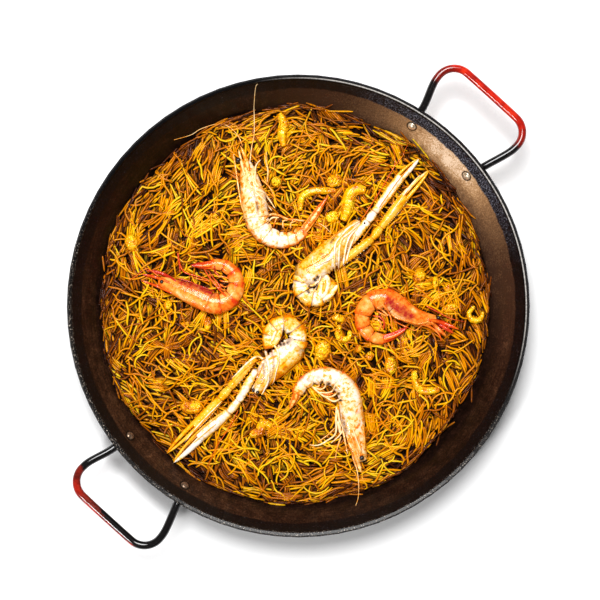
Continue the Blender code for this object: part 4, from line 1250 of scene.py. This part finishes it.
class Noodles:
    """Lays noodles on the bed: bundles first, then single ones, then loose curls."""

    def __init__(self, bed, draw):
        self.bed, self.draw = bed, draw
        self.made = []  # path, radius, tone, how burnt

    def spot(self):
        for _ in range(50):
            reach = FOOD_RADIUS * self.draw.random() ** 0.5
            angle = self.draw.uniform(-math.pi, math.pi)
            x, y = reach * math.cos(angle), reach * math.sin(angle)
            if reach < food_limit(x, y) and self.draw.random() > 0.8 * sparse(x, y):
                return np.array((x, y))
        return np.zeros(2)

    def kept_in(self, flat):
        """Pulls in what would lie beyond the food's edge."""
        reach = from_axis(flat)
        limit = food_limit(*flat[NOODLE_POINTS // 2]) + 0.0015
        share = np.where(reach > limit, limit / np.maximum(reach, 1e-6), 1.0)
        return flat * share[:, None]

    def lay(self, lines, radii, tone, jitter=0.0):
        """Lays lines side by side, then raises the map by all of them."""
        laid = []
        for flat, radius in zip(lines, radii):
            flat = self.kept_in(flat)
            if self.bed.covered(flat).mean() > 0.7 and self.draw.random() < 0.85:
                continue
            path = np.column_stack([flat, self.bed.rest(flat, radius)])
            path[:, 2] += self.draw.uniform(-jitter, jitter)
            laid.append((path, radius))
        for path, radius in laid:
            self.bed.pile(path, radius)
            outer = toasted(*path[NOODLE_POINTS // 2, :2], from_axis(path).max())
            burnt = outer * self.draw.uniform(0.1, 0.9)
            own = tone + self.draw.gauss(0, 0.09) - 0.25 * outer * self.draw.random()
            self.made.append([path, radius, own, burnt])

    def bundle(self, place, share):
        """A few noodles side by side. share is how far the filling has come."""
        draw = self.draw
        edge = ramped(math.hypot(*place), *ORDERED_EDGE)
        heading = swirl(*place) + draw.gauss(0, 0.40) * (1 - 0.6 * edge)
        length = draw.uniform(*NOODLE_LENGTH)
        bend = draw.gauss(0, 0.45)
        # The tone rises with share, so the bundles laid first, which end up lowest, are darker: painted
        # shade by depth.
        tone = draw.gauss(0.42, 0.25) + 0.20 * share + 0.42 * rough(*place, 34, 5.2)
        ahead = pointing(heading)
        aside = left_of(ahead)
        count = draw.choice((3, 4, 4, 5, 5, 6, 6, 7))
        loose = draw.choice((0.03, 0.06, 0.11))
        lines, radii = [], []
        for k in range(count):
            radius = draw.uniform(*NOODLE_RADIUS)
            shift = (k - (count - 1) / 2) * 1.60 * radius + draw.gauss(0, 0.0002)
            middle = place + aside * shift + ahead * draw.gauss(0, 0.16) * length
            own = length * draw.uniform(0.6, 1.2)
            way = heading + draw.gauss(0, loose)
            lines.append(noodle_line(middle, way, own, bend + draw.gauss(0, 2 * loose)))
            radii.append(radius)
        self.lay(lines, radii, tone, 0.0004)

    def fill(self):
        draw, bed = self.draw, self.bed
        for number in range(BUNDLES):
            options = [self.spot() for _ in range(5)]
            place = min(options, key=lambda p: bed.about(p[None], 0.002)[0] - swell(*p))
            self.bundle(place, number / BUNDLES)
        for _ in range(SINGLES):
            place = self.spot()
            heading = swirl(*place) + draw.gauss(0, 0.8)
            length = draw.uniform(*NOODLE_LENGTH)
            line = noodle_line(place, heading, length, draw.gauss(0, 0.8), draw.gauss(0, 0.25))
            self.lay([line], [draw.uniform(*NOODLE_RADIUS)], draw.gauss(0.70, 0.20))
        for _ in range(LOOSE_CURLS):
            bend = draw.choice((-1, 1)) * draw.uniform(1.4, 2.8)
            line = noodle_line(self.spot(), draw.uniform(0, 2 * math.pi), draw.uniform(0.018, 0.034), bend)
            if not bed.covered(line).any():
                self.lay([line], [draw.uniform(*NOODLE_RADIUS)], draw.gauss(0.82, 0.14))
        self.strays()

    def depth_shade(self, path, mean_height):
        """Painted shade at each point of a noodle: more where it lies deep under others or in a hollow."""
        buried = self.bed.under(path) - path[:, 2]
        hollow = mean_height[self.bed.cells(path)] - path[:, 2]
        dark = np.clip(380 * (buried - 0.0013), 0, 0.85) + np.clip(420 * (hollow - 0.0011), 0, 0.85)
        return np.minimum(dark, 0.96)

    def strays(self):
        """Dark ends that stick out on the wall round the food's edge."""
        draw = self.draw
        for _ in range(EDGE_STRAYS):
            angle = draw.uniform(-math.pi, math.pi)
            place = pointing(angle)
            reach = food_limit(*place) + draw.uniform(-0.001, 0.0035)
            heading = angle + math.pi / 2 + draw.gauss(0, 0.20)
            flat = noodle_line(place * reach, heading, draw.uniform(0.012, 0.028), draw.uniform(0.0, 0.25))
            radius = draw.uniform(0.0008, 0.0011)
            on_steel = wall_height(from_axis(flat)) + 1.3 * radius
            z = np.maximum(on_steel, self.bed.under(flat) + 0.4 * radius)
            tone, burnt = draw.gauss(0.22, 0.25), draw.uniform(0.2, 0.8)
            self.made.append([np.column_stack([flat, z]), radius, tone, burnt])


# Kinds of noodle, from the darkest: name, share of all noodles and three colours.
KINDS = (
    ("noodles_burnt", 0.10, (26, 9, 5), (70, 29, 10), (128, 66, 26)),
    ("noodles_brown", 0.16, (70, 27, 3), (134, 65, 4), (188, 102, 10)),
    ("noodles_toasted", 0.19, (120, 56, 0), (192, 102, 0), (234, 142, 6)),
    ("noodles_amber", 0.20, (146, 72, 0), (222, 126, 0), (252, 168, 6)),
    ("noodles_golden", 0.20, (168, 88, 0), (246, 154, 0), (255, 198, 10)),
    ("noodles_bright", 0.15, (190, 106, 0), (255, 178, 0), (255, 222, 34)),
)


def make_noodles(bed, draw):
    noodles = Noodles(bed, draw)
    noodles.fill()
    made = sorted(noodles.made, key=lambda item: item[2])
    mean_height = bed.mean_height(0.004)
    taper = 1 - 0.35 * np.abs(np.linspace(-1, 1, NOODLE_POINTS)) ** 6
    top = math.pi / 2
    upwards = np.sin(turns(NOODLE_SIDES) + top)
    # Painted shade on the sides and underside of each noodle, none on its top.
    side_shade = 0.46 * np.clip((1 - upwards) / 0.7, 0, 1)[None, None, :]
    done = 0.0
    for name, share, dark, middle, light in KINDS:
        kind = made[round(done * len(made)) : round((done + share) * len(made))]
        done += share
        paths = np.array([item[0] for item in kind])
        thick = np.array([item[1] for item in kind])[:, None, None] * taper[None, :, None]
        tone = np.array([draw.uniform(0.20, 0.80) for _ in kind])[:, None, None]
        burnt = np.array([item[3] for item in kind])[:, None, None]
        # Painted shade: where a noodle lies low among the others, and on its sides.
        deep = np.array([noodles.depth_shade(path, mean_height) for path in paths])[:, :, None]
        shade = deep + (1 - deep) * side_shade
        joined = Joined()
        add_tubes(
            joined, paths, thick, thick * 0.92, NOODLE_SIDES, turn=top, warm=tone, blush=burnt, shade=shade
        )
        joined.finish(name, [noodle_material(name, dark, middle, light)], ("noodles",))


def make_core():
    """The crust under the noodles: a bumpy disc that meets the wall."""
    rings, around = 90, 240
    joined = Joined()
    reach = np.linspace(0.0004, CORE_RADIUS, rings)
    angle = turns(around)
    points = []
    for r in reach:
        floor = float(wall_height(r)) + 0.0004
        outer = step_up(CORE_RADIUS - 0.006, CORE_RADIUS, r)
        for a in angle:
            x, y = r * math.cos(a), r * math.sin(a)
            lump = noise.fractal(Vector((x, y, 0)) * 120, 0.8, 2.0, 3)
            z = (CORE_HEIGHT + 0.0011 * lump) * (1 - outer) + (floor + 0.0002) * outer
            points.append((x, y, max(z, floor)))
    for r in reach[[-1, 0]]:
        points += [(r * math.cos(a), r * math.sin(a), float(wall_height(r)) + 0.0004) for a in angle]
    j = np.arange(around)
    k = (j + 1) % around
    last = (rings + 1) * around
    wrap = np.stack([last + j, j, k, last + k], axis=-1)
    quads = np.concatenate([ring_quads(rings + 1, around), wrap])
    joined.add(points, quads, np.zeros((0, 3)), 0, {})
    joined.finish("noodle_crust", [core_material()], ("noodles",))


# ---------------------------------------------------------------- cut pieces


def refined(node, name, material, voxel, lump, scale, swollen):
    """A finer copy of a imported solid, a little swollen, with an uneven, folded surface."""
    mesh = node.data.copy()
    mesh.name = name
    piece = bpy.data.objects.new(name + "_raw", mesh)
    bpy.context.scene.collection.objects.link(piece)
    remesh = piece.modifiers.new("Remesh", "REMESH")
    remesh.mode = "VOXEL"
    remesh.voxel_size = voxel
    relax = piece.modifiers.new("Smooth", "SMOOTH")
    relax.factor = 0.5
    relax.iterations = 2
    bpy.context.view_layer.update()
    graph = bpy.context.evaluated_depsgraph_get()
    made = bpy.data.meshes.new_from_object(piece.evaluated_get(graph))
    bpy.data.objects.remove(piece, do_unlink=True)
    for vertex in made.vertices:
        broad = noise.fractal(vertex.co * scale, 0.9, 2.0, 2)
        fold = 1 - abs(noise.noise(vertex.co * scale * 0.6)) * 5
        vertex.co += vertex.normal * (swollen + lump * (broad - 0.9 * max(0.0, fold)))
    made.materials.clear()
    made.materials.append(material)
    made.shade_smooth()
    place_piece(name, made, (node.name,))


def make_cut_pieces(nodes):
    material = squid_material()
    for name, node in nodes.items():
        if name.startswith("cuttlefish"):
            refined(node, name + "_cut", material, 0.0006, 0.0006, 55, 0.0017)
        elif name.startswith(("squid", "tentacle")):
            refined(node, name + "_cooked", material, 0.0005, 0.0006, 60, 0.0012)


# ---------------------------------------------------------------- shellfish

TAIL_PLATES = (0.0, 0.16, 0.34, 0.54, 0.70, 0.84, 1.0)  # where they begin, over the tail
PLATE_STEP = 0.00022  # half the length over which one plate's edge drops to the next
SHELL, LIMB, EYE = 0, 1, 2  # material numbers
BODY_STEP = 0.0007
BODY_SIDES = 60


class Ground:
    """What thin parts lie on: the bodies that are already there, and the noodles."""

    def __init__(self, bed, bodies):
        self.bed, self.bodies = bed, bodies

    def drape(self, flat, radius, taut=8):
        """Heights of a thin part laid along the flat path, pulled a little taut."""
        down = Vector((0, 0, -1))
        heights = self.bed.about(flat, radius) - 0.3 * radius
        for k, (x, y) in enumerate(flat):
            hit = self.bodies.ray_cast(Vector((x, y, 0.1)), down)[0]
            if hit:
                heights[k] = max(heights[k], hit.z)
        heights = np.maximum(heights, wall_height(from_axis(flat)) + 0.4 * radius)
        for _ in range(taut):
            heights[1:-1] = np.maximum(heights[1:-1], (heights[:-2] + heights[2:]) / 2)
        return heights + 0.55 * radius


def plate_profile(share, lift):
    """How far each ring of a plated tail stands out, and its place in its plate."""
    bounds = np.array(TAIL_PLATES)
    plate = np.clip(np.searchsorted(bounds, share, side="right") - 1, 0, len(bounds) - 2)
    within = np.clip((share - bounds[plate]) / (bounds[plate + 1] - bounds[plate]), 0, 1)
    return 1 - lift * 0.5 + lift * within**1.6, within


def body_lengths(route, head):
    """Lengths along the body, with close pairs where plates end."""
    total = route[2][-1]
    edges = [head + (total - head) * bound for bound in TAIL_PLATES[:-1]]
    extra = [edge + off for edge in edges for off in (-PLATE_STEP, PLATE_STEP)]
    return np.unique(np.concatenate([route[2], extra]))


def marked(name, rings, values):
    """Adds a body's named spots to its values."""
    scale = np.linalg.norm(pixel((1, 0)) - pixel((0, 0)))
    flat = rings[0][..., :2]
    streaks = [(*streak, eased(route, 6 * len(route))) for *streak, route in STREAKS[name]]
    for layer, amount, radius, places in list(MARKS[name]) + streaks:
        worst = np.zeros(flat.shape[:2])
        for place in pixel(places):
            off = np.linalg.norm(flat - place, axis=-1)
            worst = np.maximum(worst, bell(off, 0.0, radius * scale))
        values[layer] = values[layer] + amount * worst


def add_body(joined, name, route, at, wide, high, middle, values):
    """Adds a body's tube, with its spots of colour."""
    flat, _ = along_route(route, at)
    path = np.column_stack([flat, middle])
    scratch = Joined()
    rings = add_tubes(scratch, path, wide[None], high[None], BODY_SIDES)
    shape = (len(at), BODY_SIDES)
    values = {layer: np.broadcast_to(values.get(layer, 0.0), shape) for layer in LAYERS}
    marked(name, rings, values)
    add_tubes(joined, path, wide[None], high[None], BODY_SIDES, SHELL, **values)


def towards_back(runs):
    """1 for the side of a body's section that is the animal's back, 0 for its belly."""
    belly = math.copysign(1, runs[1][1])
    return ((1 + belly * np.cos(turns(BODY_SIDES))) / 2)[None, :]


def prawn_depth(share, depth):
    """Half the body's depth at each ring."""
    front = 0.42 + 0.58 * np.minimum(1.0, share / 0.30) ** 0.7
    back = 1.0 - 0.52 * np.maximum(0.0, (share - 0.45) / 0.55)
    return depth * front * back


def add_prawn_body(joined, name, red):
    """The shell from the face to the root of the tail fan."""
    nose, heading, runs, depth = PRAWNS[name]
    route = walk(nose, heading, runs[:2], BODY_STEP)
    head, total = runs[0][0], route[2][-1]
    at = body_lengths(route, head)
    share = at / total
    lift, within = plate_profile(np.clip((at - head) / (total - head), 0, 1), 0.13)
    tail = (at > head).astype(float)
    collar = 0.05 * step_up(head - 0.005, head - 0.001, at) * (1 - tail)
    relief = np.where(tail > 0, lift, 1.0 + collar)[:, None]
    deep = prawn_depth(share, depth)
    back = towards_back(runs)
    low_side = np.clip(1 - 2.2 * back, 0, 1)
    lobes = (tail * np.sin(math.pi * within) ** 0.7)[:, None]
    tail, within = tail[:, None], within[:, None]
    wide = deep[:, None] * relief * (1 + low_side * (0.13 * lobes - 0.08 * tail))
    crease = 0.07 * bell(back, 0.36, 0.05) * (1 - tail)
    high = deep[:, None] * PRAWN_FLAT * relief * (1 - crease)
    edge = tail * within**4
    # Painted shade at the joints where one tail plate overlaps the next, strongest on the belly side.
    seam = tail * bell(within, 0.0, 0.11) * (0.24 + 0.45 * low_side)
    share = share[:, None]
    fringe = np.clip((back - 0.80) / 0.20, 0, 1)
    if red:
        warm = 0.46 + 0.24 * back + 0.42 * edge - 0.08 * bell(within, 0.45, 0.28) * tail
        blush = 0.15 * step_up(0.92, 1.0, share)
        seam = 1.5 * seam
    else:
        warm = 0.10 + 0.55 * fringe + 0.55 * edge * (0.5 + fringe) + 0.16 * (1 - tail)
        warm = warm + 0.25 * step_up(0.85, 1.0, share)
        warm = warm + 0.25 * low_side * (1 - lobes) * tail
        blush = 0.40 * fringe * step_up(0.35, 0.55, share) + 0.12 * step_up(0.9, 1.0, share)
    # Painted shade in the seams and in the groove along the head.
    shade = seam + 0.55 * crease / 0.07 * step_up(0.05, 0.3, share) * 0.4
    middle = REST + BODY_SUNK * deep * PRAWN_FLAT
    values = {"warm": warm, "blush": blush, "shade": shade}
    add_body(joined, name, route, at, wide, high, middle, values)
    return route, depth


def add_tail_fan(joined, name, route, depth, red):
    """Telson and four side blades, folded together and narrowing to a point."""
    length, turn = PRAWNS[name][2][2]
    angle = route[1][-1]
    ahead = pointing(angle)
    start = route[0][-1] - 0.005 * ahead
    height = REST + 0.66 * depth * 0.48
    tips = np.linspace(0, 1, 14)[None, :, None]
    for place in range(-2, 3):
        reach = (length + 0.005) * (1 - 0.06 * abs(place))
        inwards = math.degrees(math.atan(0.0009 / length)) * place
        root = start + 0.0015 * place * left_of(ahead)
        lobe, _, _ = walk(root, math.degrees(angle) - inwards, ((reach, turn),), reach / 4)
        lift = 0.0007 * (2 - abs(place))
        z = np.linspace(height + 0.0012 + lift, REST + 0.0040 + lift, len(lobe))
        path = eased(np.column_stack([lobe, z]), 14)
        striped = float(abs(place) == 1)
        warm = (0.50 if red else 0.34) + 0.35 * striped + 0.45 * tips
        blush = 0.22 * striped * tips + 0.45 * tips**2
        add_outline(joined, path, "leaf", 0.0021, SHELL, warm=warm, blush=blush)


def add_strokes(joined, ground, name):
    """The named thin parts, draped over the body and the noodles."""
    for outline, wide, warm, blush, route in STROKES[name]:
        flat = eased(pixel(route), 6 + 5 * len(route))
        radius = wide / 1000
        height = ground.drape(flat, radius * OUTLINES[outline][2])
        path = np.column_stack([flat, height])
        add_outline(joined, path, outline, radius, LIMB, warm=warm, blush=blush)


def add_eyes(joined, ground, name):
    for place, radius in EYES[name]:
        flat = pixel([place])
        z = ground.drape(flat, 0.001 * radius, 0)[0]
        add_ball(joined, (*flat[0], z), 0.001 * radius, EYE)


def make_prawn(bed, name, materials):
    red = "red" in name
    joined = Joined()
    route, depth = add_prawn_body(joined, name, red)
    add_tail_fan(joined, name, route, depth, red)
    ground = Ground(bed, joined.tree())
    add_strokes(joined, ground, name)
    add_eyes(joined, ground, name)
    joined.finish(name + "_cooked", materials, (name,))


def langoustine_depth(at, head, total, depth):
    """Half the body's depth at each ring."""
    front = depth * (0.22 + 0.78 * np.minimum(1.0, at / (0.6 * head)) ** 0.8)
    back = depth * (0.74 - 0.16 * (at - head) / (total - head))
    return np.where(at <= head, front, back)


def add_langoustine_body(joined, name):
    """The head's shell and the plated tail."""
    nose, heading, runs, depth = LANGOUSTINES[name]
    route = walk(nose, heading, runs, BODY_STEP)
    head, total = runs[0][0], route[2][-1]
    at = body_lengths(route, head)
    lift, within = plate_profile(np.clip((at - head) / (total - head), 0, 1), 0.20)
    tail = (at > head).astype(float)
    deep = langoustine_depth(at, head, total, depth)
    back = towards_back(runs)
    low_side = np.clip(1 - 2.4 * back, 0, 1)
    lobes = (tail * np.sin(math.pi * np.clip(within * 1.05, 0, 1)))[:, None]
    relief = np.where(tail > 0, lift, 1.0)[:, None]
    tail, within = tail[:, None], within[:, None]
    spiny = 0.035 * np.sin(within * 6 * math.pi) * np.clip((back - 0.75) / 0.25, 0, 1) * tail
    teeth = 0.05 * np.sin(at[:, None] * 2 * math.pi / 0.0035)
    saw = teeth * np.clip((0.12 - back) / 0.12, 0, 1) * (1 - tail)
    wide = deep[:, None] * (relief + spiny + saw) * (1 + low_side * (0.36 * lobes - 0.22 * tail))
    rim = bell(back, 0.42, 0.035) * (1 - tail)
    high = deep[:, None] * LANGOUSTINE_FLAT * relief * (1 + 0.05 * rim)
    edge = tail * within**3
    middle_line = tail * bell(within, 0.45, 0.12) * bell(back, 0.45, 0.25)
    fringe = np.clip((back - 0.80) / 0.20, 0, 1)
    upper = (1 - tail) * step_up(0.44, 0.52, back)
    golden = 0.35 if name.endswith("lower") else 0.0
    warm = 0.10 + 0.75 * edge * (0.3 + back) + 0.34 * upper + (0.35 + golden) * fringe + 0.40 * middle_line
    warm = warm + golden * 0.6 * tail * step_up(0.40, 0.75, back) - 0.3 * rim
    # Painted shade at the plate joints, in the groove across each plate and along the head's edge.
    seam = tail * bell(within, 0.0, 0.13) * (0.75 + 0.35 * low_side)
    seam = seam + 0.45 * tail * bell(within, 0.50, 0.035) * step_up(0.30, 0.45, back)
    seam = seam + 0.50 * (1 - tail) * bell(back, 0.47, 0.018)
    blush = 0.25 * golden * fringe * tail
    middle = REST + BODY_SUNK * deep * LANGOUSTINE_FLAT
    values = {"warm": warm, "blush": blush, "shade": seam}
    add_body(joined, name, route, at, wide, high, middle, values)


ARM_LEVEL = REST + 0.0062
UPPER_ARM = (0.0026, 0.0042, 0.0045, 0.0034)
WRIST = (0.0030, 0.0044, 0.0046, 0.0031)
PALM = (0.0034, 0.0043, 0.0049, 0.0050, 0.0047)


def add_limb(joined, start, end, radii, power, golden, blush=0.0, jointed=1.0):
    """One part of an arm, with a knob at each joint; its sides are painted golden and its ends dark, as
    shade.

    jointed is 0 for a palm, which goes over into the fingers without a joint.
    """
    count, sides = 10 * len(radii), 24
    t = np.linspace(0, 1, count)
    sizes = np.interp(t, np.linspace(0, 1, len(radii)), radii)
    knobs = 1 + 0.16 * bell(t, 0.06, 0.05) + jointed * 0.16 * bell(t, 0.93, 0.06)
    ripple = 1 + 0.035 * np.sin(t * 2 * math.pi * len(radii) * 1.7)
    sizes = (sizes * knobs * ripple)[None, :, None]
    path = np.column_stack([start + (end - start) * t[:, None], np.full(count, ARM_LEVEL)])
    # Painted shade: dark ends at the joints, and more golden sides than top.
    dark = 0.6 * (bell(t, 0.0, 0.03) + jointed * bell(1 - t, 0.0, 0.03))[None, :, None]
    warm = golden + (0.60 if golden < 0.4 else 0.25) * sideways(sides) ** 4
    add_tubes(joined, path, sizes, sizes * 0.92, sides, LIMB, power, warm=warm, blush=blush, shade=dark)


def add_fingers(joined, knuckle, tip, fingers, palm_end):
    """Two fingers that carry on the palm's outline and meet at the tip."""
    aside = left_of(unit(tip - knuckle))
    spread = ((-0.16, 0.92), (0.08, 1.0), (0.35, 0.95), (0.65, 0.72), (0.88, 0.38), (1.0, 0.08))
    for side, thick, warm in fingers:
        offset = palm_end - thick / 1000
        points = []
        for share, apart in spread:
            place = knuckle + (tip - knuckle) * share + aside * side * apart * offset
            points.append((*place, ARM_LEVEL - 0.0006 * share))
        sizes = np.interp(np.linspace(0, 1, 22), (0, 0.25, 0.7, 1), (1.05, 1.0, 0.62, 0.10))
        sizes = sizes[None, :, None] * thick / 1000
        # Painted shade: the fingers' sides are more golden and darker than their tops.
        edge = sideways(16) ** 4
        tone = warm + 0.35 * edge
        add_tubes(joined, eased(points, 22), sizes, sizes, 16, LIMB, 1.2, warm=tone, shade=0.25 * edge)


def add_beads(joined, start, end, radii, rows, spacing, golden):
    """Rows of small knobs along a part of an arm."""
    count = round(np.linalg.norm(end - start) / spacing)
    across = left_of(unit(end - start))
    for row in rows:
        for k in range(count):
            share = (k + 0.5) / count
            wide = np.interp(share, np.linspace(0, 1, len(radii)), radii)
            place = start + (end - start) * share + across * row * wide
            z = ARM_LEVEL + wide * 0.92 * max(0.0, 1 - abs(row)) ** 0.8
            warm = 0.30 if abs(row) < 0.9 or golden > 0.5 else 0.60
            add_ball(joined, (*place, z), 0.00078, LIMB, 5, 8, warm=warm)


def add_arm(joined, joints, golden, fingers, bead_rows, broad):
    """Upper arm, wrist and a long claw with beaded rows and two thin fingers."""
    shoulder, elbow, wrist, knuckle, tip = (np.array(joint) for joint in joints)
    palm = [broad * radius for radius in PALM]
    add_limb(joined, shoulder, elbow, UPPER_ARM, 1.15, golden * 0.9, 0.15 * (golden > 0.4))
    add_limb(joined, elbow, wrist, WRIST, 1.1, golden)
    add_limb(joined, wrist, knuckle, palm, 1.2, golden, jointed=0.0)
    add_fingers(joined, knuckle, tip, fingers, palm[-1])
    add_beads(joined, wrist, knuckle, palm, bead_rows, 0.0022, golden)
    add_beads(joined, shoulder, elbow, UPPER_ARM, (0.93, -0.93), 0.0040, golden)


def make_langoustine(bed, name, materials):
    joined = Joined()
    add_langoustine_body(joined, name)
    for arm in ARMS[name]:
        add_arm(joined, *arm)
    for wide, thick, level, warm, blush, route in PLATES_LAID[name]:
        flat = eased(pixel(route), 26)
        z = np.full(len(flat), level / 1000 - wide / 1000 * thick)
        path = np.column_stack([flat, z])
        add_outline(joined, path, "oval", wide / 1000, SHELL, 20, thick, warm=warm, blush=blush)
    ground = Ground(bed, joined.tree())
    add_strokes(joined, ground, name)
    add_eyes(joined, ground, name)
    joined.finish(name + "_cooked", materials, (name,))


def make_feelers(bed, nodes, materials):
    """Long thin feelers, lying on the food and up the wall."""
    ground = Ground(bed, solids_tree([nodes[name] for name in (*PRAWNS, *LANGOUSTINES)]))
    for name, slot_name, warm, blush, wide, route in FEELERS:
        joined = Joined()
        seen = eased(pixel(route), 12 * len(route))
        flat = seen
        for _ in range(4):
            height = np.minimum(ground.drape(flat, wide / 1000, 12), FEELER_TOP)
            flat = seen * ((CAMERA_HEIGHT - height) / (CAMERA_HEIGHT - FOOD_HEIGHT))[:, None]
        path = np.column_stack([flat, height])
        add_outline(joined, path, "hair", wide / 1000, 0, 7, warm=warm, blush=blush)
        joined.finish(name, [materials[slot_name]])


def make_shellfish(bed, nodes):
    # Pale, light, warm and deep shell, then its blush, and the colour of painted shade in its creases.
    pale = ((254, 234, 216), (254, 212, 146), (248, 160, 36), (232, 108, 14), (228, 84, 40), (140, 76, 20))
    ripe = ((255, 206, 140), (253, 164, 66), (248, 112, 16), (212, 54, 6), (170, 24, 30), (120, 30, 8))
    cream = ((255, 240, 222), (252, 208, 128), (255, 180, 0), (230, 122, 0), (212, 62, 18), (150, 86, 30))
    buttery, amber = (255, 228, 178), (255, 200, 84)
    eye = eye_material()
    pale_limb = shell_material("pale_limbs", (buttery, *pale[1:]), 0.20, 300)
    red_limb = shell_material("red_limbs", ripe, 0.20, 300)
    cream_limb = shell_material("langoustine_limbs", (cream[0], amber, *cream[2:]), 0.15, 300)
    pale_shell = shell_material("prawn_pale", pale, 0.44, 260)
    red_shell = shell_material("prawn_red", ripe, 0.20, 260, 0.24)
    cream_shell = shell_material("langoustine_shell", cream, 0.34, 340, 0.34)
    for name in PRAWNS:
        shell, limb = (red_shell, red_limb) if "red" in name else (pale_shell, pale_limb)
        make_prawn(bed, name, [shell, limb, eye])
    for name in LANGOUSTINES:
        make_langoustine(bed, name, [cream_shell, cream_limb, eye])
    limbs = {"prawn_pale": pale_limb, "prawn_red": red_limb, "langoustine": cream_limb}
    make_feelers(bed, nodes, limbs)


# ---------------------------------------------------------------- pan, light and camera


def finish_pan(nodes):
    nodes["pan_body"].material_slots[0].material = pan_material()
    make_handles()
    make_rivets()


def make_floor():
    mesh = bpy.data.meshes.new("floor")
    corners = [(x * FLOOR_HALF, y * FLOOR_HALF, 0) for x, y in ((-1, -1), (1, -1), (1, 1), (-1, 1))]
    mesh.from_pydata(corners, [], [(0, 1, 2, 3)])
    floor = bpy.data.objects.new("floor", mesh)
    bpy.context.scene.collection.objects.link(floor)
    shader = Shader("floor", 0.9, specular=0.1)
    mesh.materials.append(shader.done(srgb((252, 252, 252))))


def area_light(name, towards, height, away, size, power):
    """A round light that looks at the pan's centre."""
    angle = math.radians(towards) - CAMERA_ROLL
    place = Vector((math.cos(angle) * away, math.sin(angle) * away, height))
    data = bpy.data.lights.new(name, "AREA")
    data.shape = "DISK"
    data.size = size
    data.energy = power
    light = bpy.data.objects.new(name, data)
    light.location = place
    light.rotation_mode = "QUATERNION"
    light.rotation_quaternion = (-place).to_track_quat("-Z", "Y")
    bpy.context.scene.collection.objects.link(light)


def make_light():
    world = bpy.data.worlds.new("studio")
    bpy.context.scene.world = world
    world.use_nodes = True
    background = world.node_tree.nodes["Background"]
    background.inputs["Color"].default_value = (1.0, 1.0, 1.0, 1.0)
    background.inputs["Strength"].default_value = WORLD_LIGHT
    for name, light in LIGHTS.items():
        area_light(name, *light)
    view = bpy.context.scene.view_settings
    view.view_transform = "Standard"
    view.look = "None"


def make_camera():
    data = bpy.data.cameras.new("camera")
    scale = RIM_PIXELS / (2 * RIM_RADIUS)
    data.sensor_width = SENSOR
    data.lens = scale * (CAMERA_HEIGHT - PAN_HEIGHT) * SENSOR / PICTURE
    camera = bpy.data.objects.new("camera", data)
    right = (PICTURE / 2 - CENTRE_PIXEL[0]) / scale
    up = (CENTRE_PIXEL[1] - PICTURE / 2) / scale
    camera.location = (*rolled(right, up), CAMERA_HEIGHT)
    camera.rotation_euler = (0, 0, -CAMERA_ROLL)
    bpy.context.scene.collection.objects.link(camera)
    bpy.context.scene.camera = camera


def main():
    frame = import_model()
    nodes = frame["nodes"]
    toppings = ("prawn", "langoustine", "cuttlefish", "squid", "tentacle")
    bed = Bed([node for name, node in nodes.items() if name.startswith(toppings)])
    make_core()
    make_noodles(bed, random.Random(SEED))
    make_cut_pieces(nodes)
    make_shellfish(bed, nodes)
    finish_pan(nodes)
    make_floor()
    make_light()
    make_camera()


main()
